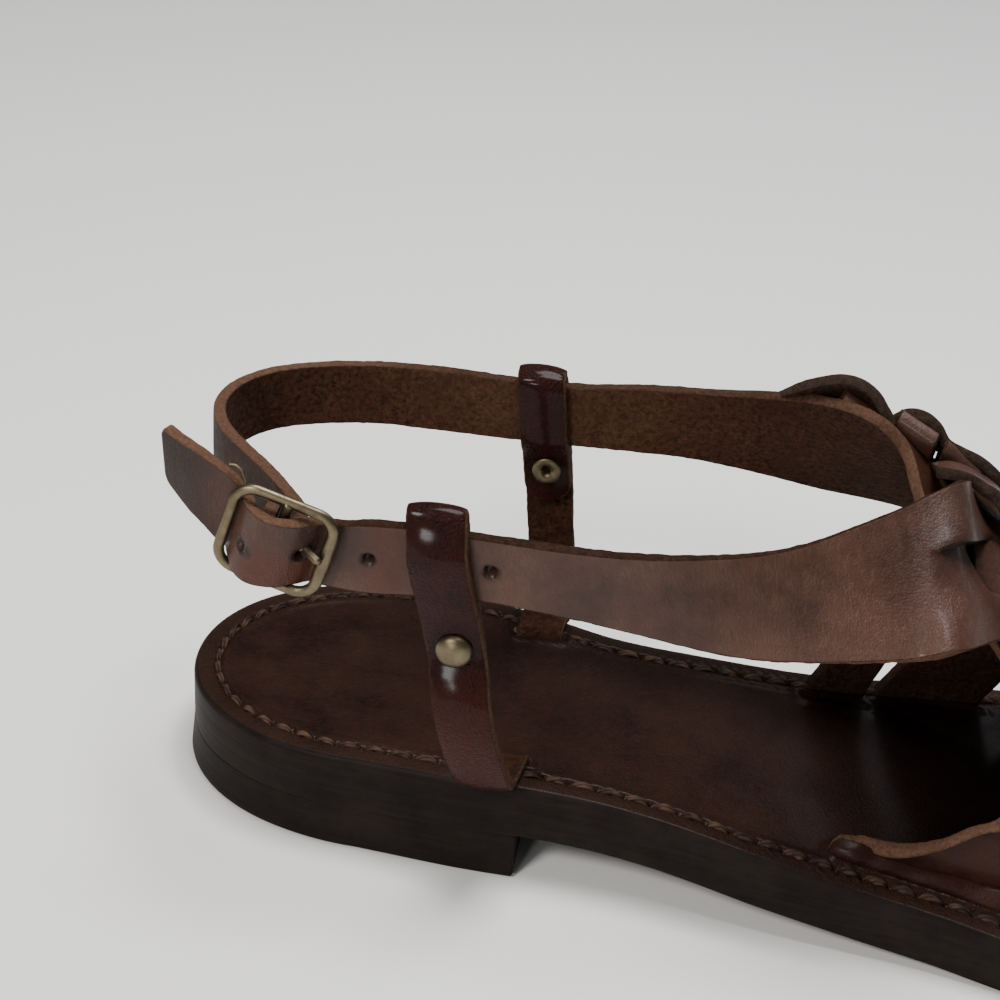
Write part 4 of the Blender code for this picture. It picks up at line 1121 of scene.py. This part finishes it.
# loops, rivets and buckle
loops = {
    "thick": 2.3, "width": {"outer": 11.4, "inner": 10.2},
    # x, y, z from the slit upwards, over the strap and down to the rivet
    "outer": [(73.4, -23.6, 18.7), (73.4, -23.6, 22.4), (73.2, -25.4, 24.5), (72.6, -29.0, 24.6),
              (71.9, -33.6, 24.7), (71.4, -37.6, 27.6), (70.0, -40.6, 34.0), (68.2, -42.2, 41.0),
              (67.1, -42.3, 46.0), (66.2, -41.5, 50.0), (65.4, -39.9, 54.0), (64.7, -38.5, 57.2),
              (64.0, -38.0, 60.0), (62.9, -38.2, 65.0), (61.5, -38.9, 71.0), (59.9, -39.9, 78.5),
              (59.3, -39.2, 82.6), (58.8, -37.6, 86.8), (58.5, -35.8, 88.8), (58.5, -33.6, 87.6),
              (59.0, -32.4, 82.0), (60.8, -32.6, 72.0),
              (61.5, -33.1, 68.4), (62.8, -35.2, 63.8), (63.6, -35.3, 60.0), (64.9, -35.3, 54.0)],
    "inner": [(74.6, 23.0, 18.7), (74.6, 23.0, 22.5), (74.8, 24.8, 24.6), (75.2, 28.4, 24.7),
              (75.8, 31.6, 25.2), (76.2, 33.8, 29.0), (75.0, 34.6, 38.0), (73.8, 34.7, 48.0),
              (72.8, 34.7, 58.0), (71.6, 34.8, 67.6), (69.9, 35.4, 79.6), (69.4, 35.3, 83.6),
              (69.2, 34.2, 85.8), (69.1, 32.3, 86.5), (69.3, 30.4, 85.8), (69.5, 29.2, 83.6),
              (70.8, 29.1, 72.6), (71.1, 29.4, 69.8), (71.6, 30.8, 66.8), (72.0, 31.2, 63.4),
              (73.2, 31.3, 55.4)],
    # outer layer's x, y, z at the rivet, side, distance between the layers
    "rivets": {"outer": (64.0, -38.0, 60.0, -1, 2.75), "inner": (72.2, 34.8, 63.4, 1, 3.9)},
    "redness": {"outer": 0.4, "inner": 0.8},
}


def makeLoop(side):
    points = [Vector(p) for p in loops[side]]
    width = loops["width"][side]
    rows = []
    for k, point in enumerate(points):
        ahead = points[min(k + 1, len(points) - 1)] - points[max(k - 1, 0)]
        aside = Vector((1, 0, 0)) - ahead * ahead.x / ahead.length_squared
        aside = aside.normalized() * width / 2
        rows.append([point - aside, point, point + aside])
    rows[0] = rootRow(rows[0])
    _, _, rivetZ, sign, _ = loops["rivets"][side]

    def relief(s, width, x, middle):
        # domed across, as a narrow strip is when it is pulled tight
        return -0.75 * (2 * s / width - 1) ** 2

    def marksAndShading(s, width, point, face):
        if face == "edge":
            return 0.45 if s > width / 2 else 0.1
        # a band of painted shade round the rivet's dome, and redder lower down
        return 0.5 * hump(point.z, rivetZ, 4.5) - loops["redness"][side] * hump(point.z, 40, 14)

    cut = {"thick": loops["thick"], "grain": sign, "across": 14, "step": 0.6, "seed": 20.0 + sign,
           "roundEnd": 4.0, "waves": (0.12, 9.0, 3.0), "relief": relief, "marksAndShading": marksAndShading}
    finishStrap("strap_loop_" + side, rows, cut, loopSkins, "loop_" + side)


rivet = {
    # dome radius, height and foot; washer radius
    "dome": 3.62, "high": 1.8, "foot": 0.25, "washer": {"outer": 3.3, "inner": 3.15}, "clear": 0.1,
}


def makeRivet(side):
    x, y, z, sign, step = loops["rivets"][side]
    out = Vector((0, sign, 0))
    clear = loops["thick"] / 2 + rivet["clear"]
    face = Vector((x, y, z)) + out * clear
    length = step + 2 * clear
    # radius and height from the outer face: dome, rim, post, then washer with its punched middle
    dome, washer = rivet["dome"], rivet["washer"][side]
    turns = [k * math.pi / 20 for k in range(1, 10)]
    profile = [(0.0, rivet["foot"] + rivet["high"])]
    profile += [(dome * math.sin(a), rivet["foot"] + rivet["high"] * math.cos(a)) for a in turns]
    profile += [(3.7, 0.2), (3.72, 0.06), (3.6, -0.1), (1.0, -0.1)]
    profile += [(radius, height - length) for radius, height in (
        (1.0, 0.1), (washer, 0.1), (washer + 0.05, -0.35), (washer - 0.1, -0.6), (washer - 0.5, -0.72),
        (1.6, -0.62), (1.25, -0.45), (0.82, -0.1), (0.78, 1.4), (0.0, 1.5))]
    bm = bmesh.new()
    turn = Vector((0, 0, 1)).rotation_difference(out).to_matrix()
    verts = [bm.verts.new(toWorld(face + turn @ Vector((r, 0, h)))) for r, h in profile]
    edges = [bm.edges.new(pair) for pair in zip(verts, verts[1:])]
    bmesh.ops.spin(bm, geom=verts + edges, cent=toWorld(face), axis=out, angle=2 * math.pi, steps=40,
                   use_merge=True)
    bmesh.ops.remove_doubles(bm, verts=bm.verts, dist=1e-6)
    bmesh.ops.recalc_face_normals(bm, faces=bm.faces)
    for f in bm.faces:
        f.smooth = True
    finishPiece(bm, "rivet_and_washer_" + side, [brass], "antique_brass", "rivet_" + side)


def tubeAlong(points, radii, around=14, closed=False, flat=1.0, axis=Vector((0, 1, 0))):
    # round wire along a line of points in mm, with a radius at each
    count = len(points)

    def place(i, j):
        k = i % count
        if closed:
            ahead = points[(k + 1) % count] - points[k - 1]
        else:
            ahead = points[min(k + 1, count - 1)] - points[max(k - 1, 0)]
        side = ahead.cross(axis).normalized()
        other = side.cross(ahead).normalized()
        a = 2 * math.pi * j / around
        spot = points[k] + (side * math.cos(a) + other * flat * math.sin(a)) * radii[k]
        return spot, (i, j), 1.0, 0, 0.0

    return gridPiece(count if closed else count - 1, around, place, None if closed else 0)


def makeBuckle():
    halfLong, halfHigh, corner = buckle["length"] / 2, buckle["height"] / 2, buckle["corner"]
    ring = []
    for quarter, (sx, sy) in enumerate(((1, 1), (-1, 1), (-1, -1), (1, -1))):
        for k in range(13):
            a = (quarter + k / 12) * math.pi / 2
            ring.append(bucklePoint(sx * (halfLong - corner) + corner * math.cos(a), 0,
                                    buckle["rise"] + sy * (halfHigh - corner) + corner * math.sin(a)))
    line, _ = evenLoop(ring, 120)
    # the front bar is cast a little wider than the others
    front = bucklePoint(-halfLong, 0, 0)
    radii = [buckle["wire"] * (1.0 + buckle["wider"] * hump((p - front).length, 0, 6)) for p in line]
    bm = tubeAlong(line, radii, 18, closed=True, flat=buckle["flat"])
    bar = [bucklePoint(0, 0, buckle["rise"] + halfHigh * k / 12) for k in range(-12, 13)]
    other = tubeAlong(bar, [buckle["bar"]] * len(bar))
    mesh = bpy.data.meshes.new("bar")
    other.to_mesh(mesh)
    other.free()
    bm.from_mesh(mesh)
    bpy.data.meshes.remove(mesh)
    finishPiece(bm, "buckle_frame_cast", [brass], "antique_brass", "buckle_frame")
    # the prong winds round the centre bar, dips through the hole and rests on the front bar
    wind = buckle["bar"] + 0.3 + buckle["prong"]
    rest = buckle["wire"] + 0.3 + buckle["prong"]
    above = buckle["prongRise"]
    path = [bucklePoint(wind * math.cos(math.radians(d)), wind * math.sin(math.radians(d)), above)
            for d in range(-140, 91, 10)]
    rise = [(0, wind), *buckle["prongDip"], (0.5 - halfLong, rest)]
    path += denseLine([bucklePoint(along, out, above) for along, out in rise], 20)[1:]
    radii = [buckle["prong"] * min(1.0, 0.55 + 0.3 * left) for left in reversed(range(len(path)))]
    upright = Vector((math.sin(buckle["tilt"]), 0, math.cos(buckle["tilt"])))
    bm = tubeAlong(path, radii, axis=upright)
    finishPiece(bm, "buckle_prong_cast", [brass], "antique_brass", "buckle_prong")
    # the prong's thin wire end stands up behind the frame's top bar
    arc = denseLine([bucklePoint(*spot) for spot in buckle["wireEnd"]], 28)
    bm = tubeAlong(arc, [buckle["thin"]] * len(arc), 8)
    finishPiece(bm, "buckle_wire_end", [brass], "antique_brass")


for side in ("outer", "inner"):
    makeLoop(side)
    makeRivet(side)
makeBuckle()
print("loops and metal made")


# floor, light and camera
def makeFloor():
    material, _, _ = newMaterial("pale floor", {"Base Color": srgb("f4f3f1"), "Roughness": 0.9})
    bm = bmesh.new()
    bmesh.ops.create_grid(bm, x_segments=1, y_segments=1, size=2.0)
    bmesh.ops.translate(bm, verts=bm.verts, vec=(0, 0, -0.0002))
    meshObject(bm, "floor", [material])


stage = {
    # lamps: name, position, size, watts, colour; they point at the middle of the sandal
    "lamps": [
        ("overhead", (0.12, 0.08, 0.95), 0.42, 10.5, "ffffff"),
        ("key", (-0.42, -0.72, 0.78), 0.24, 7.5, "fffaf4"),
        ("back", (0.55, 0.75, 0.8), 0.5, 3.0, "f6f9ff"),
        ("low front", (-0.22, -0.95, 0.26), 0.13, 1.8, "ffffff")],
    "middle": (0.08, 0, 0.04), "sky": 0.12, "lens": 69.097,
    # the camera's right, up and back directions, and its position
    "axes": ((0.98488, 0.15941, 0.06779), (-0.13912, 0.49472, 0.85784), (0.10321, -0.85431, 0.50942)),
    "camera": (0.06707, -0.34108, 0.27515),
}


def makeLights():
    for name, spot, size, power, colour in stage["lamps"]:
        light = bpy.data.lights.new(name, "AREA")
        light.energy = power
        light.size = size
        light.color = srgb(colour)[:3]
        item = addObject(name, light)
        item.location = spot
        aim = Vector(stage["middle"]) - Vector(spot)
        item.rotation_euler = aim.to_track_quat("-Z", "Y").to_euler()
    world = bpy.data.worlds.new("studio")
    world.use_nodes = True
    ground = world.node_tree.nodes["Background"]
    fillInputs(world.node_tree, ground, [srgb("ffffff"), stage["sky"]])
    bpy.context.scene.world = world


def makeCamera():
    data = bpy.data.cameras.new("camera")
    data.sensor_width = 36.0
    data.lens = stage["lens"]
    turn = Matrix(stage["axes"]).transposed().to_4x4()
    turn.translation = stage["camera"]
    camera = addObject("camera", data)
    camera.matrix_world = turn
    bpy.context.scene.camera = camera


makeFloor()
makeLights()
makeCamera()
print("stage made")
